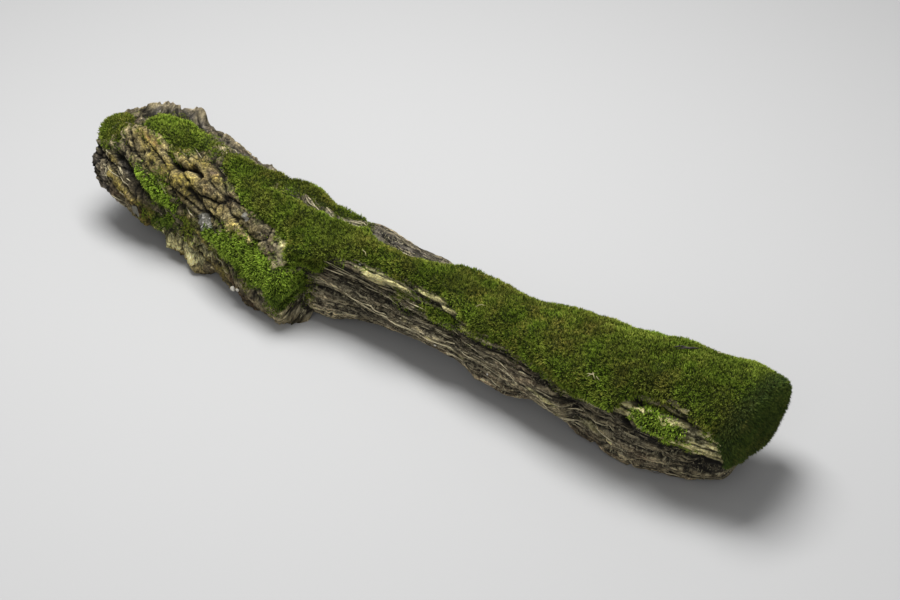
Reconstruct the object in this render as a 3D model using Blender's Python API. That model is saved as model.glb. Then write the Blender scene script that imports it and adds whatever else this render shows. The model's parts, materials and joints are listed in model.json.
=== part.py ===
"""A mossy log: one fallen stem with a broken limb stub, and the moss cushions that grow on it.

Sizes are in metres and angles in degrees. X runs along the log from its rough butt to its mossy tip,
-Y is the near side and Z is up. Angles round the log start at the near side and go up over the top.
The log rests on its worn underside, with the origin under the middle of its box.
"""

import bpy
import numpy as np
from mathutils import noise

# The pith and the four reaches of the wood at stations along the log:
# along, across, height, then the reach to the near side, top, far side and underside
STATIONS = np.array((
    (-0.80, -0.048, 0.104, 0.096, 0.084, 0.090, 0.092),
    (-0.68, -0.028, 0.118, 0.126, 0.102, 0.106, 0.126),
    (-0.60, -0.026, 0.120, 0.126, 0.112, 0.122, 0.132),
    (-0.50, -0.026, 0.122, 0.116, 0.102, 0.116, 0.132),
    (-0.36, -0.036, 0.120, 0.101, 0.088, 0.094, 0.122),
    (-0.20, -0.038, 0.118, 0.100, 0.078, 0.082, 0.120),
    (-0.05, -0.038, 0.115, 0.088, 0.078, 0.090, 0.100),
    (0.08, -0.040, 0.114, 0.080, 0.074, 0.088, 0.082),
    (0.20, -0.038, 0.114, 0.081, 0.069, 0.072, 0.082),
    (0.32, -0.036, 0.114, 0.083, 0.071, 0.075, 0.088),
    (0.46, -0.030, 0.116, 0.096, 0.080, 0.088, 0.106),
    (0.60, -0.020, 0.116, 0.106, 0.094, 0.106, 0.128),
    (0.70, -0.010, 0.114, 0.102, 0.102, 0.118, 0.112),
    (0.78, -0.006, 0.112, 0.084, 0.106, 0.124, 0.078),
))
BUTT_X = -0.750
TIP_X = 0.765
SECTION_POWER = 2.25

# The grid that the surface is lofted on
RINGS_BUTT = 42
RINGS_STEM = 40
COLUMNS = 32
COLUMN_CROWDING = 0.25
CROWDED_SIDE = 20.0
BUTT_CAP = (0.90, 0.66, 0.36)
TIP_CAP = (0.88, 0.62, 0.32)

# The ends lean: the wood reaches further at the top than below. The rim of the butt is worn back at the top.
BUTT_LEAN = 0.060
BUTT_SETBACK = 0.034
BUTT_LEAN_LENGTH = 0.30
BUTT_PULL = 0.016
BUTT_PULL_LENGTH = 0.16
TIP_LEAN = 0.016
TIP_REACH = 0.012
TIP_LEAN_LENGTH = 0.20
BUTT_ROT_DEPTH = 0.035
TIP_BULGE = 0.022
BUTT_POLE_DENT = 0.006
TIP_POLE_BULGE = 0.008

# The broken limb that leaves the log near its underside and stops short
LIMB_START = -0.50
LIMB_FULL = -0.22
LIMB_END = -0.158
LIMB_BREAK = 0.012
LIMB_REACH = 0.062
LIMB_SIDE = -38.0
LIMB_HALF_WIDTH = 46.0
LIMB_POWER = 2.6

# The grain winds round the butt and runs straight along the stem
TWIST = 200.0
TWIST_END = -0.15

# Bark relief
LUMP_HEIGHT = 0.008
LUMP_RATE = 8.0
FURROW_RATE = 2.3
FURROW_RATE_ALONG = 6.0
FURROW_WIDTH = 0.20
BUTT_FURROW_DEPTH = 0.0042
STEM_FURROW_DEPTH = 0.0024
# The worn underside is smoother: from one height share to the other
WORN_START = 0.35
WORN_FULL = 0.9
SPLINTER_HEIGHT = 0.012
SPLINTER_RATE = 2.1
SPLINTER_RATE_OUT = 3.0

# Grooves and pits: along and angle of both ends, half width, depth
GROOVES = (
    (-0.545, 52.0, -0.455, 54.0, 0.010, 0.014),
    (-0.455, 30.0, -0.375, 14.0, 0.010, 0.014),
    (-0.690, 21.0, -0.645, 10.0, 0.013, 0.026),
    (-0.645, 10.0, -0.598, -3.0, 0.014, 0.028),
    (-0.570, 128.0, -0.440, 140.0, 0.045, 0.016),
    (-0.250, 38.0, -0.165, 34.0, 0.014, 0.010),
    (-0.470, -8.0, -0.330, -22.0, 0.008, 0.009),
    (-0.755, -36.0, -0.725, -56.0, 0.032, 0.020),
    (-0.310, -35.0, -0.290, -39.0, 0.014, 0.013),
    (-0.170, 132.0, -0.120, 130.0, 0.030, 0.009),
    (0.400, -47.0, 0.450, -51.0, 0.030, 0.013),
)
# Ridges: the same, with a height
RIDGES = (
    (-0.700, -4.0, -0.600, -24.0, 0.014, 0.010),
    (-0.255, 27.0, -0.175, 6.0, 0.014, 0.010),
    (-0.610, 42.0, -0.500, 36.0, 0.020, 0.004),
    (-0.480, 38.0, -0.330, 22.0, 0.024, 0.003),
    (-0.700, 114.0, -0.665, 118.0, 0.022, 0.014),
    (-0.610, 125.0, -0.585, 128.0, 0.018, 0.014),
    (-0.420, -44.0, -0.400, -47.0, 0.018, 0.014),
    (-0.500, -38.0, -0.425, -44.0, 0.030, 0.030),
    (-0.565, -26.0, -0.430, -38.0, 0.010, 0.007),
    (-0.665, 0.0, -0.600, -14.0, 0.010, 0.009),
    (-0.130, -50.0, -0.090, -51.0, 0.036, 0.013),
    (0.270, -46.0, 0.330, -46.0, 0.028, 0.013),
)
# Ledges where a layer of bark stops: points of along and angle, then the step down below them
LEDGES = (
    (((-0.135, 27.0), (-0.10, 33.0), (-0.05, 32.0), (0.045, 30.0)), 0.012),
    (((0.065, 43.0), (0.11, 46.0), (0.17, 48.0), (0.215, 37.0)), 0.013),
    (((0.50, 12.0), (0.56, 15.0), (0.62, 19.0), (0.67, 12.0), (0.78, 13.0)), 0.019),
)
LEDGE_RISE = 5.0
LEDGE_FADE = 0.03
LEDGE_DEEP = 32.0
LEDGE_OUT_AGAIN = 80.0

# The moss carpet: along, angle of its near edge, angle of its far edge
CARPET = np.array((
    (-0.440, 86.0, 92.0),
    (-0.400, 68.0, 104.0),
    (-0.340, 51.0, 115.0),
    (-0.285, 43.0, 128.0),
    (-0.235, 36.0, 142.0),
    (-0.183, 33.0, 146.0),
    (-0.163, 10.0, 146.0),
    (-0.110, 6.0, 138.0),
    (-0.090, 36.0, 128.0),
    (-0.050, 45.0, 100.0),
    (0.000, 48.0, 92.0),
    (0.050, 53.0, 90.0),
    (0.100, 50.0, 98.0),
    (0.150, 51.0, 135.0),
    (0.200, 45.0, 146.0),
    (0.240, 33.0, 152.0),
    (0.320, 30.0, 156.0),
    (0.400, 26.0, 160.0),
    (0.470, 20.0, 162.0),
    (0.540, 16.0, 166.0),
    (0.580, 16.0, 168.0),
    (0.600, 34.0, 169.0),
    (0.660, 43.0, 170.0),
    (0.720, 44.0, 172.0),
    (0.745, 42.0, 178.0),
    (0.765, 26.0, 196.0),
    (0.830, 10.0, 220.0),
))
CARPET_THICK = 0.016
# On the end face the moss stops at a line this far below the pith, which falls towards the far side
TIP_MOSS_FLOOR = -0.045
TIP_MOSS_SLOPE = 0.2
MOSS_EDGE_TOLERANCE = 0.0008
MOSS_CLEAR_OF_GROUND = 0.003
# The bare strip in the carpet, as a patch that is taken away: along, angle, half length, half width, tilt
BARE_STRIP = (-0.178, 102.0, 0.085, 0.015, 70.0)

# Moss cushions: name, along, angle, half length, half width, tilt in degrees per metre, thickness
CUSHIONS = (
    ("moss_butt_clump", -0.560, 86.0, 0.084, 0.038, 0.0, 0.016),
    ("moss_butt_end", -0.712, 66.0, 0.046, 0.048, 0.0, 0.006),
    ("moss_furrow_strip", -0.528, 13.0, 0.064, 0.022, -210.0, 0.013),
    ("moss_lower_strip", -0.515, -15.0, 0.060, 0.014, 130.0, 0.011),
    ("moss_side_patch", 0.185, 27.0, 0.062, 0.018, 20.0, 0.009),
    ("moss_shelf", 0.662, 21.0, 0.056, 0.022, -40.0, 0.010),
)
# The pad on the limb stub: along, upper edge, lower edge
LIMB_PAD = np.array((
    (-0.400, 2.0, -2.0),
    (-0.370, 8.0, -6.0),
    (-0.310, 13.0, -11.0),
    (-0.250, 15.0, -15.0),
    (-0.200, 13.0, -21.0),
    (-0.150, 10.0, -31.0),
    (-0.140, 8.0, -32.0),
))
LIMB_PAD_THICK = 0.014
EDGE_WANDER = 0.007
EDGE_WANDER_RATE = 26.0
MOSS_EDGE = 0.0028
MOSS_EDGE_SLOPE = 0.022
MOSS_LUMP = 0.35
MOSS_LUMP_RATE = 22.0
MOSS_GAP = 0.0003
# Moss grows outward, and over the edge of the tip it turns towards X
END_SPLAY = 0.35
TIP_SPLAY = 0.55
TIP_SPLAY_LENGTH = 0.05
FAR_INSIDE = 0.03
TYPICAL_RADIUS = 0.10

BARK_COLOUR = (0.16, 0.13, 0.09, 1.0)
MOSS_COLOUR = (0.07, 0.12, 0.02, 1.0)
BRIGHT_MOSS_COLOUR = (0.10, 0.17, 0.02, 1.0)


def smoothstep(start, end, value):
    share = np.clip((value - start) / (end - start), 0.0, 1.0)
    return share * share * (3.0 - 2.0 * share)


def along_stations(x, stations, column):
    """A smooth curve through one column of a table of stations."""
    places = stations[:, 0]
    values = stations[:, column]
    x = np.clip(x, places[0], places[-1])
    i = np.clip(np.searchsorted(places, x) - 1, 0, len(places) - 2)
    slopes = np.gradient(values, places)
    step = places[i + 1] - places[i]
    t = (x - places[i]) / step
    start = (2 * t**3 - 3 * t**2 + 1) * values[i] + (t**3 - 2 * t**2 + t) * step * slopes[i]
    end = (3 * t**2 - 2 * t**3) * values[i + 1] + (t**3 - t**2) * step * slopes[i + 1]
    return start + end


def turn(angle):
    """The same angle between -180 and 180 degrees."""
    return (angle + 180.0) % 360.0 - 180.0


def noise_field(x, angle, rate_along, rate_round, seed):
    """Smooth noise on the log's surface, from -1 to 1, with no seam round the log."""
    radians = np.radians(angle)
    a = x * rate_along + seed
    b = np.cos(radians) * rate_round
    c = np.sin(radians) * rate_round
    flat = [noise.noise(p) for p in zip(a.ravel(), b.ravel(), c.ravel())]
    return np.array(flat).reshape(x.shape)


def grain_angle(x, angle):
    """The angle that follows the grain as it winds round the butt."""
    return angle + TWIST * np.minimum(x - TWIST_END, 0.0)


def wood_section(x, angle):
    """The reach of the plain stem: four quarter ellipses, a little squared."""
    near, top, far, under = (along_stations(x, STATIONS, column) for column in (3, 4, 5, 6))
    c = np.cos(np.radians(angle))
    s = np.sin(np.radians(angle))
    across = np.abs(c) / np.where(c > 0, near, far)
    upright = np.abs(s) / np.where(s > 0, top, under)
    return (across**SECTION_POWER + upright**SECTION_POWER) ** (-1.0 / SECTION_POWER)


def limb_stub(x, angle):
    """The broken limb, which swells out of the butt and ends in a break."""
    swell = smoothstep(LIMB_START, LIMB_FULL, x)
    swell = swell * (1.0 - smoothstep(LIMB_END, LIMB_END + LIMB_BREAK, x))
    off_side = np.abs(turn(angle - LIMB_SIDE)) / LIMB_HALF_WIDTH
    return LIMB_REACH * swell * np.exp(-(off_side**LIMB_POWER))


def near_line(x, angle, line):
    """How close a point is to a short line on the surface: 1 on it, falling to 0 past its half width."""
    x0, angle0, x1, angle1, half_width = line
    arc = np.radians(TYPICAL_RADIUS)
    du = x1 - x0
    dv = (angle1 - angle0) * arc
    pu = x - x0
    pv = turn(angle - angle0) * arc
    share = np.clip((pu * du + pv * dv) / (du * du + dv * dv), 0.0, 1.0)
    distance = np.hypot(pu - share * du, pv - share * dv)
    return np.exp(-((distance / half_width) ** 2))


def ledge_step(x, angle, line, step):
    """The wood below a ledge line is set back, and comes out again further down."""
    places = np.array([p[0] for p in line])
    angles = np.array([p[1] for p in line])
    edge = np.interp(x, places, angles)
    below = edge - angle
    set_back = smoothstep(0.0, LEDGE_RISE, below) * (1.0 - smoothstep(LEDGE_DEEP, LEDGE_OUT_AGAIN, below))
    there = smoothstep(places[0] - LEDGE_FADE, places[0], x)
    there = there * (1.0 - smoothstep(places[-1], places[-1] + LEDGE_FADE, x))
    return -step * set_back * there


def bark_relief(x, angle, cover):
    """Lumps, furrows, grooves, ridges and ledges. Moss hides and softens the furrows under it."""
    grain = grain_angle(x, angle)
    lumps = LUMP_HEIGHT * noise_field(x, angle, LUMP_RATE, LUMP_RATE * TYPICAL_RADIUS * 2, 3.0)
    furrow_noise = noise_field(x, grain, FURROW_RATE_ALONG, FURROW_RATE, 11.0)
    furrows = np.exp(-((furrow_noise / FURROW_WIDTH) ** 2))
    depth = STEM_FURROW_DEPTH + (BUTT_FURROW_DEPTH - STEM_FURROW_DEPTH) * (1.0 - smoothstep(-0.35, -0.05, x))
    underside = smoothstep(WORN_START, WORN_FULL, -np.sin(np.radians(angle)))
    relief = lumps - depth * furrows * (1.0 - 0.8 * cover) * (1.0 - 0.7 * underside)
    for *line, groove_depth in GROOVES:
        relief = relief - groove_depth * near_line(x, angle, line)
    for *line, ridge_height in RIDGES:
        relief = relief + ridge_height * near_line(x, angle, line)
    for line, step in LEDGES:
        relief = relief + ledge_step(x, turn(angle), line, step)
    return relief


def band(x, angle, table):
    """Metres inside a band between two edges that change along the log, negative outside."""
    arc = np.radians(TYPICAL_RADIUS)
    places = table[:, 0]
    edge_a = np.interp(x, places, table[:, 1])
    edge_b = np.interp(x, places, table[:, 2])
    middle = (edge_a + edge_b) / 2
    half = np.abs(edge_b - edge_a) / 2
    inside_round = (half - np.abs(turn(angle - middle))) * arc
    inside_along = np.minimum(x - places[0], places[-1] - x)
    return np.minimum(inside_round, inside_along)


def oval(x, angle, middle_x, middle_angle, half_length, half_width, tilt):
    """Metres inside an oval on the surface, negative outside, leaning by tilt degrees per metre."""
    arc = np.radians(TYPICAL_RADIUS)
    u = x - middle_x
    v = turn(angle - middle_angle - tilt * u) * arc
    reach = np.hypot(u / half_length, v / half_width)
    return (1.0 - reach) * min(half_length, half_width)


def moss_inside(x, angle, spread, cap):
    """Metres inside the edge of each moss node at the grid points. cap is 1 on the end faces."""
    wander = EDGE_WANDER * noise_field(x, angle, EDGE_WANDER_RATE, EDGE_WANDER_RATE * TYPICAL_RADIUS, 31.0)
    carpet = band(x, angle, CARPET)
    bare = oval(x, angle, *BARE_STRIP)
    carpet = np.minimum(carpet, -bare)
    height = TYPICAL_RADIUS * spread * np.sin(np.radians(angle))
    towards = TYPICAL_RADIUS * spread * np.cos(np.radians(angle))
    on_tip = height - TIP_MOSS_FLOOR - TIP_MOSS_SLOPE * towards
    carpet = np.where((cap > 0) & (x > 0), on_tip, carpet)
    inside = {"moss_carpet": carpet + wander}
    for name, *place, _ in CUSHIONS:
        inside[name] = oval(x, angle, *place) + wander
    inside["moss_limb_pad"] = band(x, angle, LIMB_PAD) + wander
    for name, field in inside.items():
        if name != "moss_carpet":
            inside[name] = np.where(cap > 0, -FAR_INSIDE, field)
    return inside


def moss_thickness():
    thickness = {name: thick for name, *_, thick in CUSHIONS}
    thickness["moss_carpet"] = CARPET_THICK
    thickness["moss_limb_pad"] = LIMB_PAD_THICK
    return thickness


def make_grid():
    """The rows and columns of the loft: along, angle, spread from the pith and share of end face."""
    side = np.concatenate((
        np.linspace(BUTT_X, LIMB_END, RINGS_BUTT),
        np.linspace(LIMB_END + LIMB_BREAK, TIP_X, RINGS_STEM),
    ))
    spread = np.concatenate((BUTT_CAP[::-1], np.ones(len(side)), TIP_CAP))
    along = np.concatenate((np.full(len(BUTT_CAP), BUTT_X), side, np.full(len(TIP_CAP), TIP_X)))
    cap = (spread < 1.0).astype(float)
    count = np.arange(COLUMNS) * 360.0 / COLUMNS
    angle = count - np.degrees(COLUMN_CROWDING) * np.sin(np.radians(count - CROWDED_SIDE))
    shape = (len(along), COLUMNS)
    return tuple(
        np.ascontiguousarray(np.broadcast_to(values, shape))
        for values in (along[:, None], angle[None, :], spread[:, None], cap[:, None])
    )


def snap_to_edges(x, angle, cap, field):
    """Slides grid points round the log onto a moss edge that passes close to them."""
    spacing = np.gradient(np.unwrap(angle, axis=1, period=360.0), axis=1)
    probe = 0.5
    slope = (field(angle + probe) - field(angle - probe)) / (2 * probe)
    safe = np.where(np.abs(slope) > 1e-5, slope, np.inf)
    slide = -field(angle) / safe
    close = (np.abs(slide) < 0.45 * spacing) & (cap == 0)
    return angle + np.where(close, slide, 0.0)


def log_points(x, angle, spread, cap, cover):
    """The surface of the wood at each grid point."""
    across = along_stations(x, STATIONS, 1)
    height = along_stations(x, STATIONS, 2)
    rim = wood_section(x, angle) + limb_stub(x, angle) + bark_relief(x, angle, cover)
    reach = rim * spread
    sine = np.sin(np.radians(angle))
    butt = (BUTT_SETBACK - BUTT_LEAN * sine) * (1.0 - smoothstep(BUTT_X, BUTT_X + BUTT_LEAN_LENGTH, x))
    tip = (TIP_REACH + TIP_LEAN * sine) * smoothstep(TIP_X - TIP_LEAN_LENGTH, TIP_X, x)
    worn = BUTT_PULL * smoothstep(-0.1, 0.8, sine) * (1.0 - smoothstep(BUTT_X, BUTT_X + BUTT_PULL_LENGTH, x))
    splinters = SPLINTER_HEIGHT * noise_field(spread, angle, SPLINTER_RATE_OUT, SPLINTER_RATE, 47.0)
    rot = (BUTT_ROT_DEPTH * (1.0 - spread**2) + splinters) * cap * (x < 0)
    bulge = TIP_BULGE * np.sqrt(np.maximum(1.0 - spread**2, 0.0)) * cap * (x > 0)
    along = x + (butt + tip + worn) * spread + rot + bulge
    down = np.maximum(height + reach * sine, 0.0)
    return np.stack((along, across - reach * np.cos(np.radians(angle)), down), axis=-1)


def outward(x, angle, spread, cap):
    """The way moss grows: straight out from the stem, and along X on the mossy tip."""
    radians = np.radians(angle)
    to_tip = np.where(x > 0, 1.0, -1.0)
    over_edge = TIP_SPLAY * smoothstep(TIP_X - TIP_SPLAY_LENGTH, TIP_X, x)
    lean = np.where(cap > 0, 1.0 - END_SPLAY * spread, over_edge) * np.pi / 2
    away = np.stack(
        (np.sin(lean) * to_tip, -np.cos(lean) * np.cos(radians), np.cos(lean) * np.sin(radians)), axis=-1
    )
    return away / np.linalg.norm(away, axis=-1, keepdims=True)


def grid_triangles(labels):
    """Triangles between the rows, then two poles. A quad's diagonal spares moss corners."""
    rows, columns = labels.shape
    triangles = []
    for i in range(rows - 1):
        for j in range(columns):
            k = (j + 1) % columns
            a, b, c, d = i * columns + j, (i + 1) * columns + j, (i + 1) * columns + k, i * columns + k
            bare_ac = (labels[i, j] == 0) + (labels[i + 1, k] == 0)
            bare_bd = (labels[i + 1, j] == 0) + (labels[i, k] == 0)
            if bare_ac == 1 and bare_bd == 0:
                triangles += [(a, b, d), (b, c, d)]
            else:
                triangles += [(a, b, c), (a, c, d)]
    butt_pole, tip_pole = rows * columns, rows * columns + 1
    for j in range(columns):
        k = (j + 1) % columns
        triangles.append((butt_pole, j, k))
        triangles.append((tip_pole, (rows - 1) * columns + k, (rows - 1) * columns + j))
    return triangles


def patch_triangles(triangles, labels, label):
    """The triangles of one moss node, less any point where it would only touch itself."""
    keep = {int(v) for v in np.nonzero(labels == label)[0]}
    while True:
        faces = largest_piece([t for t in triangles if keep.issuperset(t)])
        edges = {e for face in faces for e in zip(face, face[1:] + face[:1])}
        starts = [a for a, b in edges if (b, a) not in edges]
        pinched = {v for v in starts if starts.count(v) > 1}
        if not pinched:
            return faces
        keep -= pinched


def largest_piece(faces):
    """Keeps the biggest group of triangles that share edges."""
    by_edge = {}
    for number, (a, b, c) in enumerate(faces):
        for edge in ((a, b), (b, c), (c, a)):
            by_edge[edge] = number
    left = set(range(len(faces)))
    biggest = []
    while left:
        group = [left.pop()]
        for number in group:
            a, b, c = faces[number]
            for edge in ((b, a), (c, b), (a, c)):
                other = by_edge.get(edge)
                if other in left:
                    left.remove(other)
                    group.append(other)
        if len(group) > len(biggest):
            biggest = group
    return [faces[number] for number in sorted(biggest)]


def moss_shell(faces, low, high):
    """A closed solid between two surfaces that share their triangles."""
    used = sorted({v for face in faces for v in face})
    number = {v: n for n, v in enumerate(used)}
    count = len(used)
    points = np.concatenate((low[used], high[used]))
    top = [tuple(number[v] + count for v in face) for face in faces]
    bottom = [tuple(number[v] for v in reversed(face)) for face in faces]
    edges = {e for face in faces for e in zip(face, face[1:] + face[:1])}
    walls = []
    for a, b in sorted(edges):
        if (b, a) not in edges:
            na, nb = number[a], number[b]
            walls += [(na, nb, nb + count), (na, nb + count, na + count)]
    return points, top + bottom + walls


def material(name, colour, roughness):
    made = bpy.data.materials.new(name)
    made.use_nodes = True
    shader = made.node_tree.nodes["Principled BSDF"]
    shader.inputs["Base Color"].default_value = colour
    shader.inputs["Roughness"].default_value = roughness
    return made


def add_solid(collection, name, points, faces, finish):
    mesh = bpy.data.meshes.new(name)
    mesh.from_pydata([tuple(p) for p in points], [], faces)
    mesh.materials.append(finish)
    mesh.shade_smooth()
    mesh.set_sharp_from_angle(angle=np.radians(50.0))
    obj = bpy.data.objects.new(name, mesh)
    collection.objects.link(obj)
    return obj


def build():
    for obj in list(bpy.data.objects):
        bpy.data.objects.remove(obj)
    collection = bpy.data.collections.new("mossy_log")
    bpy.context.scene.collection.children.link(collection)

    x, angle, spread, cap = make_grid()

    def deepest(test_angle):
        return np.max(list(moss_inside(x, test_angle, spread, cap).values()), axis=0)

    angle = snap_to_edges(x, angle, cap, deepest)
    inside = moss_inside(x, angle, spread, cap)
    names = list(inside)
    depth = np.stack([inside[name] for name in names])
    labels = np.where(depth.max(axis=0) > -MOSS_EDGE_TOLERANCE, depth.argmax(axis=0) + 1, 0)
    cover = smoothstep(-0.004, 0.012, depth.max(axis=0))

    wood = log_points(x, angle, spread, cap, cover)
    away = outward(x, angle, spread, cap)
    poles = np.array((wood[0].mean(axis=0), wood[-1].mean(axis=0)))
    poles[0, 0] += BUTT_POLE_DENT
    poles[1, 0] += TIP_POLE_BULGE
    flat_wood = np.concatenate((wood.reshape(-1, 3), poles))
    flat_away = np.concatenate((away.reshape(-1, 3), ((-1, 0, 0), (1, 0, 0))))
    flat_labels = np.concatenate((labels.ravel(), (0, 1)))

    lump = noise_field(x, angle, MOSS_LUMP_RATE, MOSS_LUMP_RATE * TYPICAL_RADIUS, 71.0)
    thick = moss_thickness()
    solids = []
    triangles = grid_triangles(labels)
    for number, name in enumerate(names):
        rise = smoothstep(0.0, MOSS_EDGE_SLOPE, inside[name])
        height = MOSS_EDGE + (thick[name] - MOSS_EDGE) * rise * (1.0 + MOSS_LUMP * lump)
        height = np.append(height.ravel(), (MOSS_EDGE, thick[name]))[:, None]
        faces = patch_triangles(triangles, flat_labels, number + 1)
        low = flat_wood + flat_away * MOSS_GAP
        high = low + flat_away * height
        high[:, 2] = np.maximum(high[:, 2], MOSS_CLEAR_OF_GROUND)
        solids.append((name, *moss_shell(faces, low, high)))

    everything = np.concatenate([flat_wood] + [points for _, points, _ in solids])
    middle = (everything.min(axis=0) + everything.max(axis=0)) / 2
    home = np.array((middle[0], middle[1], everything[:, 2].min()))
    bark = material("bark", BARK_COLOUR, 0.9)
    moss = material("moss", MOSS_COLOUR, 0.95)
    bright = material("bright_moss", BRIGHT_MOSS_COLOUR, 0.95)
    add_solid(collection, "log", flat_wood - home, triangles, bark)
    for name, points, faces in solids:
        add_solid(collection, name, points - home, faces, moss if name == "moss_carpet" else bright)
    return home


HOME = build()
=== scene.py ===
"""Mossy log: the bark, the moss and the small growth of a fallen log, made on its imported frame.

The log is described on its own skin. A place is a distance along the log, in metres, and an angle round
it, in degrees: 0 on the near side, 90 on top, 180 on the far side. All other sizes are in metres. A named
pair of numbers is the start and end of a smooth change, or the range of a random draw.
"""

import json
import math

import bmesh
import bpy
import numpy as np
from mathutils import Matrix, Vector, noise

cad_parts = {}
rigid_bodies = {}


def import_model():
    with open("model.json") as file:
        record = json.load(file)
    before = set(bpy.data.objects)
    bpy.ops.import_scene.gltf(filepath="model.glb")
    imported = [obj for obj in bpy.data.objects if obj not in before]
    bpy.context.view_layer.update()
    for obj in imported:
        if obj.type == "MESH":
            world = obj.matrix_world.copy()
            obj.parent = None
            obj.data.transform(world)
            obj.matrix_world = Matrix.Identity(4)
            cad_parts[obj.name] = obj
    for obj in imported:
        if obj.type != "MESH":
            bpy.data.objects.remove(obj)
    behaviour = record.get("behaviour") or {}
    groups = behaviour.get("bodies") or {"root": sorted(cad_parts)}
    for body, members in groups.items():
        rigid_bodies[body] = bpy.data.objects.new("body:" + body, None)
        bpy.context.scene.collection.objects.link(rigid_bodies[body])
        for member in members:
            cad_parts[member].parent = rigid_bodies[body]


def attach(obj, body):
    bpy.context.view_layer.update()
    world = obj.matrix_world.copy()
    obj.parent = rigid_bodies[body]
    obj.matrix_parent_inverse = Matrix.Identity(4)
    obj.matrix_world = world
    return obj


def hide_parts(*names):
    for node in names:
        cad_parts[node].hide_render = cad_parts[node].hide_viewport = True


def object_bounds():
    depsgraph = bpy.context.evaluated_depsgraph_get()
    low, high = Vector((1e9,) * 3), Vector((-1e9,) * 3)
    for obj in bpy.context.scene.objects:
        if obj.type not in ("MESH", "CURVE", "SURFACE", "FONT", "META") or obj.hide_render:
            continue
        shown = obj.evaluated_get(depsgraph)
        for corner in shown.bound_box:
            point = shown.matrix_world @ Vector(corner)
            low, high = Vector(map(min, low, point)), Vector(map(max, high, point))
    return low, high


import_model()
CAD_BOUNDS = [list(corner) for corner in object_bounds()]

bl_info = {
    "name": "Mossy Log",
    "version": (1, 0, 0),
    "blender": (4, 5, 0),
    "location": "View3D > Sidebar > Mossy Log",
    "description": "Grows the bark, the moss and the litter of a fallen log, and lights it in a studio",
    "category": "Object",
}

BODY = "root"
# From the stem's own axes to the frame
HOME = np.array((-0.0291073, 0.03455592, 0.0))

# The stem: along, across, height of the pith, then the reach to the near side, top, far side and underside
STATIONS = np.array((
    (-0.80, -0.048, 0.104, 0.096, 0.084, 0.090, 0.092),
    (-0.68, -0.028, 0.118, 0.126, 0.102, 0.106, 0.126),
    (-0.60, -0.026, 0.120, 0.126, 0.112, 0.122, 0.132),
    (-0.50, -0.026, 0.122, 0.116, 0.102, 0.116, 0.132),
    (-0.36, -0.036, 0.120, 0.101, 0.088, 0.094, 0.122),
    (-0.20, -0.038, 0.118, 0.100, 0.078, 0.082, 0.120),
    (-0.05, -0.038, 0.115, 0.088, 0.078, 0.090, 0.100),
    (0.08, -0.040, 0.114, 0.080, 0.074, 0.088, 0.082),
    (0.20, -0.038, 0.114, 0.081, 0.069, 0.072, 0.082),
    (0.32, -0.036, 0.114, 0.083, 0.071, 0.075, 0.088),
    (0.46, -0.030, 0.116, 0.096, 0.080, 0.088, 0.106),
    (0.60, -0.020, 0.116, 0.106, 0.094, 0.106, 0.128),
    (0.70, -0.010, 0.114, 0.102, 0.102, 0.118, 0.112),
    (0.78, -0.006, 0.112, 0.084, 0.106, 0.124, 0.078),
))
BUTT_X = -0.750
TIP_X = 0.765
SECTION_POWER = 2.25
TYPICAL_RADIUS = 0.10
BUTT_LEAN = 0.060
BUTT_SETBACK = 0.034
BUTT_LEAN_LENGTH = 0.30
BUTT_PULL = 0.016
BUTT_PULL_LENGTH = 0.16
TIP_LEAN = 0.016
TIP_REACH = 0.012
TIP_LEAN_LENGTH = 0.20
BUTT_ROT_DEPTH = 0.035
TIP_BULGE = 0.022
WORN_SINES = (-0.1, 0.8)
TIP_SHOULDER = (TIP_X - 0.05, TIP_X)
SHOULDER_LEAN = 0.55
TIP_FACE_LEAN = 0.35
GROUND_CONTACT = 0.0012
BOX_MARGIN = 0.0002

# The broken limb stub
LIMB_START = -0.50
LIMB_FULL = -0.22
LIMB_END = -0.158
LIMB_BREAK = 0.012
LIMB_REACH = 0.062
LIMB_SIDE = -38.0
LIMB_HALF_WIDTH = 46.0
LIMB_POWER = 2.6
LIMB_RAGGED = 0.016
LIMB_RAGGED_PART = (LIMB_END - 0.05, LIMB_END - 0.01)
LIMB_TORN_START = (LIMB_END - 0.03, LIMB_END)
LIMB_TORN_END = (LIMB_END + 0.02, LIMB_END + 0.04)
LIMB_TORN_WIDTH = 30.0
LIMB_TORN_FADE = (30.0, 10.0)

# The grain winds round the butt
TWIST = 200.0
TWIST_END = -0.15

# Coarse relief of the wood
LUMP_HEIGHT = 0.008
FURROW_WIDTH = 0.20
FURROW_SHARE = 0.3
BUTT_FURROW_DEPTH = 0.014
STEM_FURROW_DEPTH = 0.008
FURROWS_EASE = (-0.35, -0.05)
FURROWS_UNDER_MOSS = 0.8
FURROWS_UNDERNEATH = 0.7
UNDERSIDE_SINES = (0.35, 0.9)
SPLINTER_HEIGHT = 0.012
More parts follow.
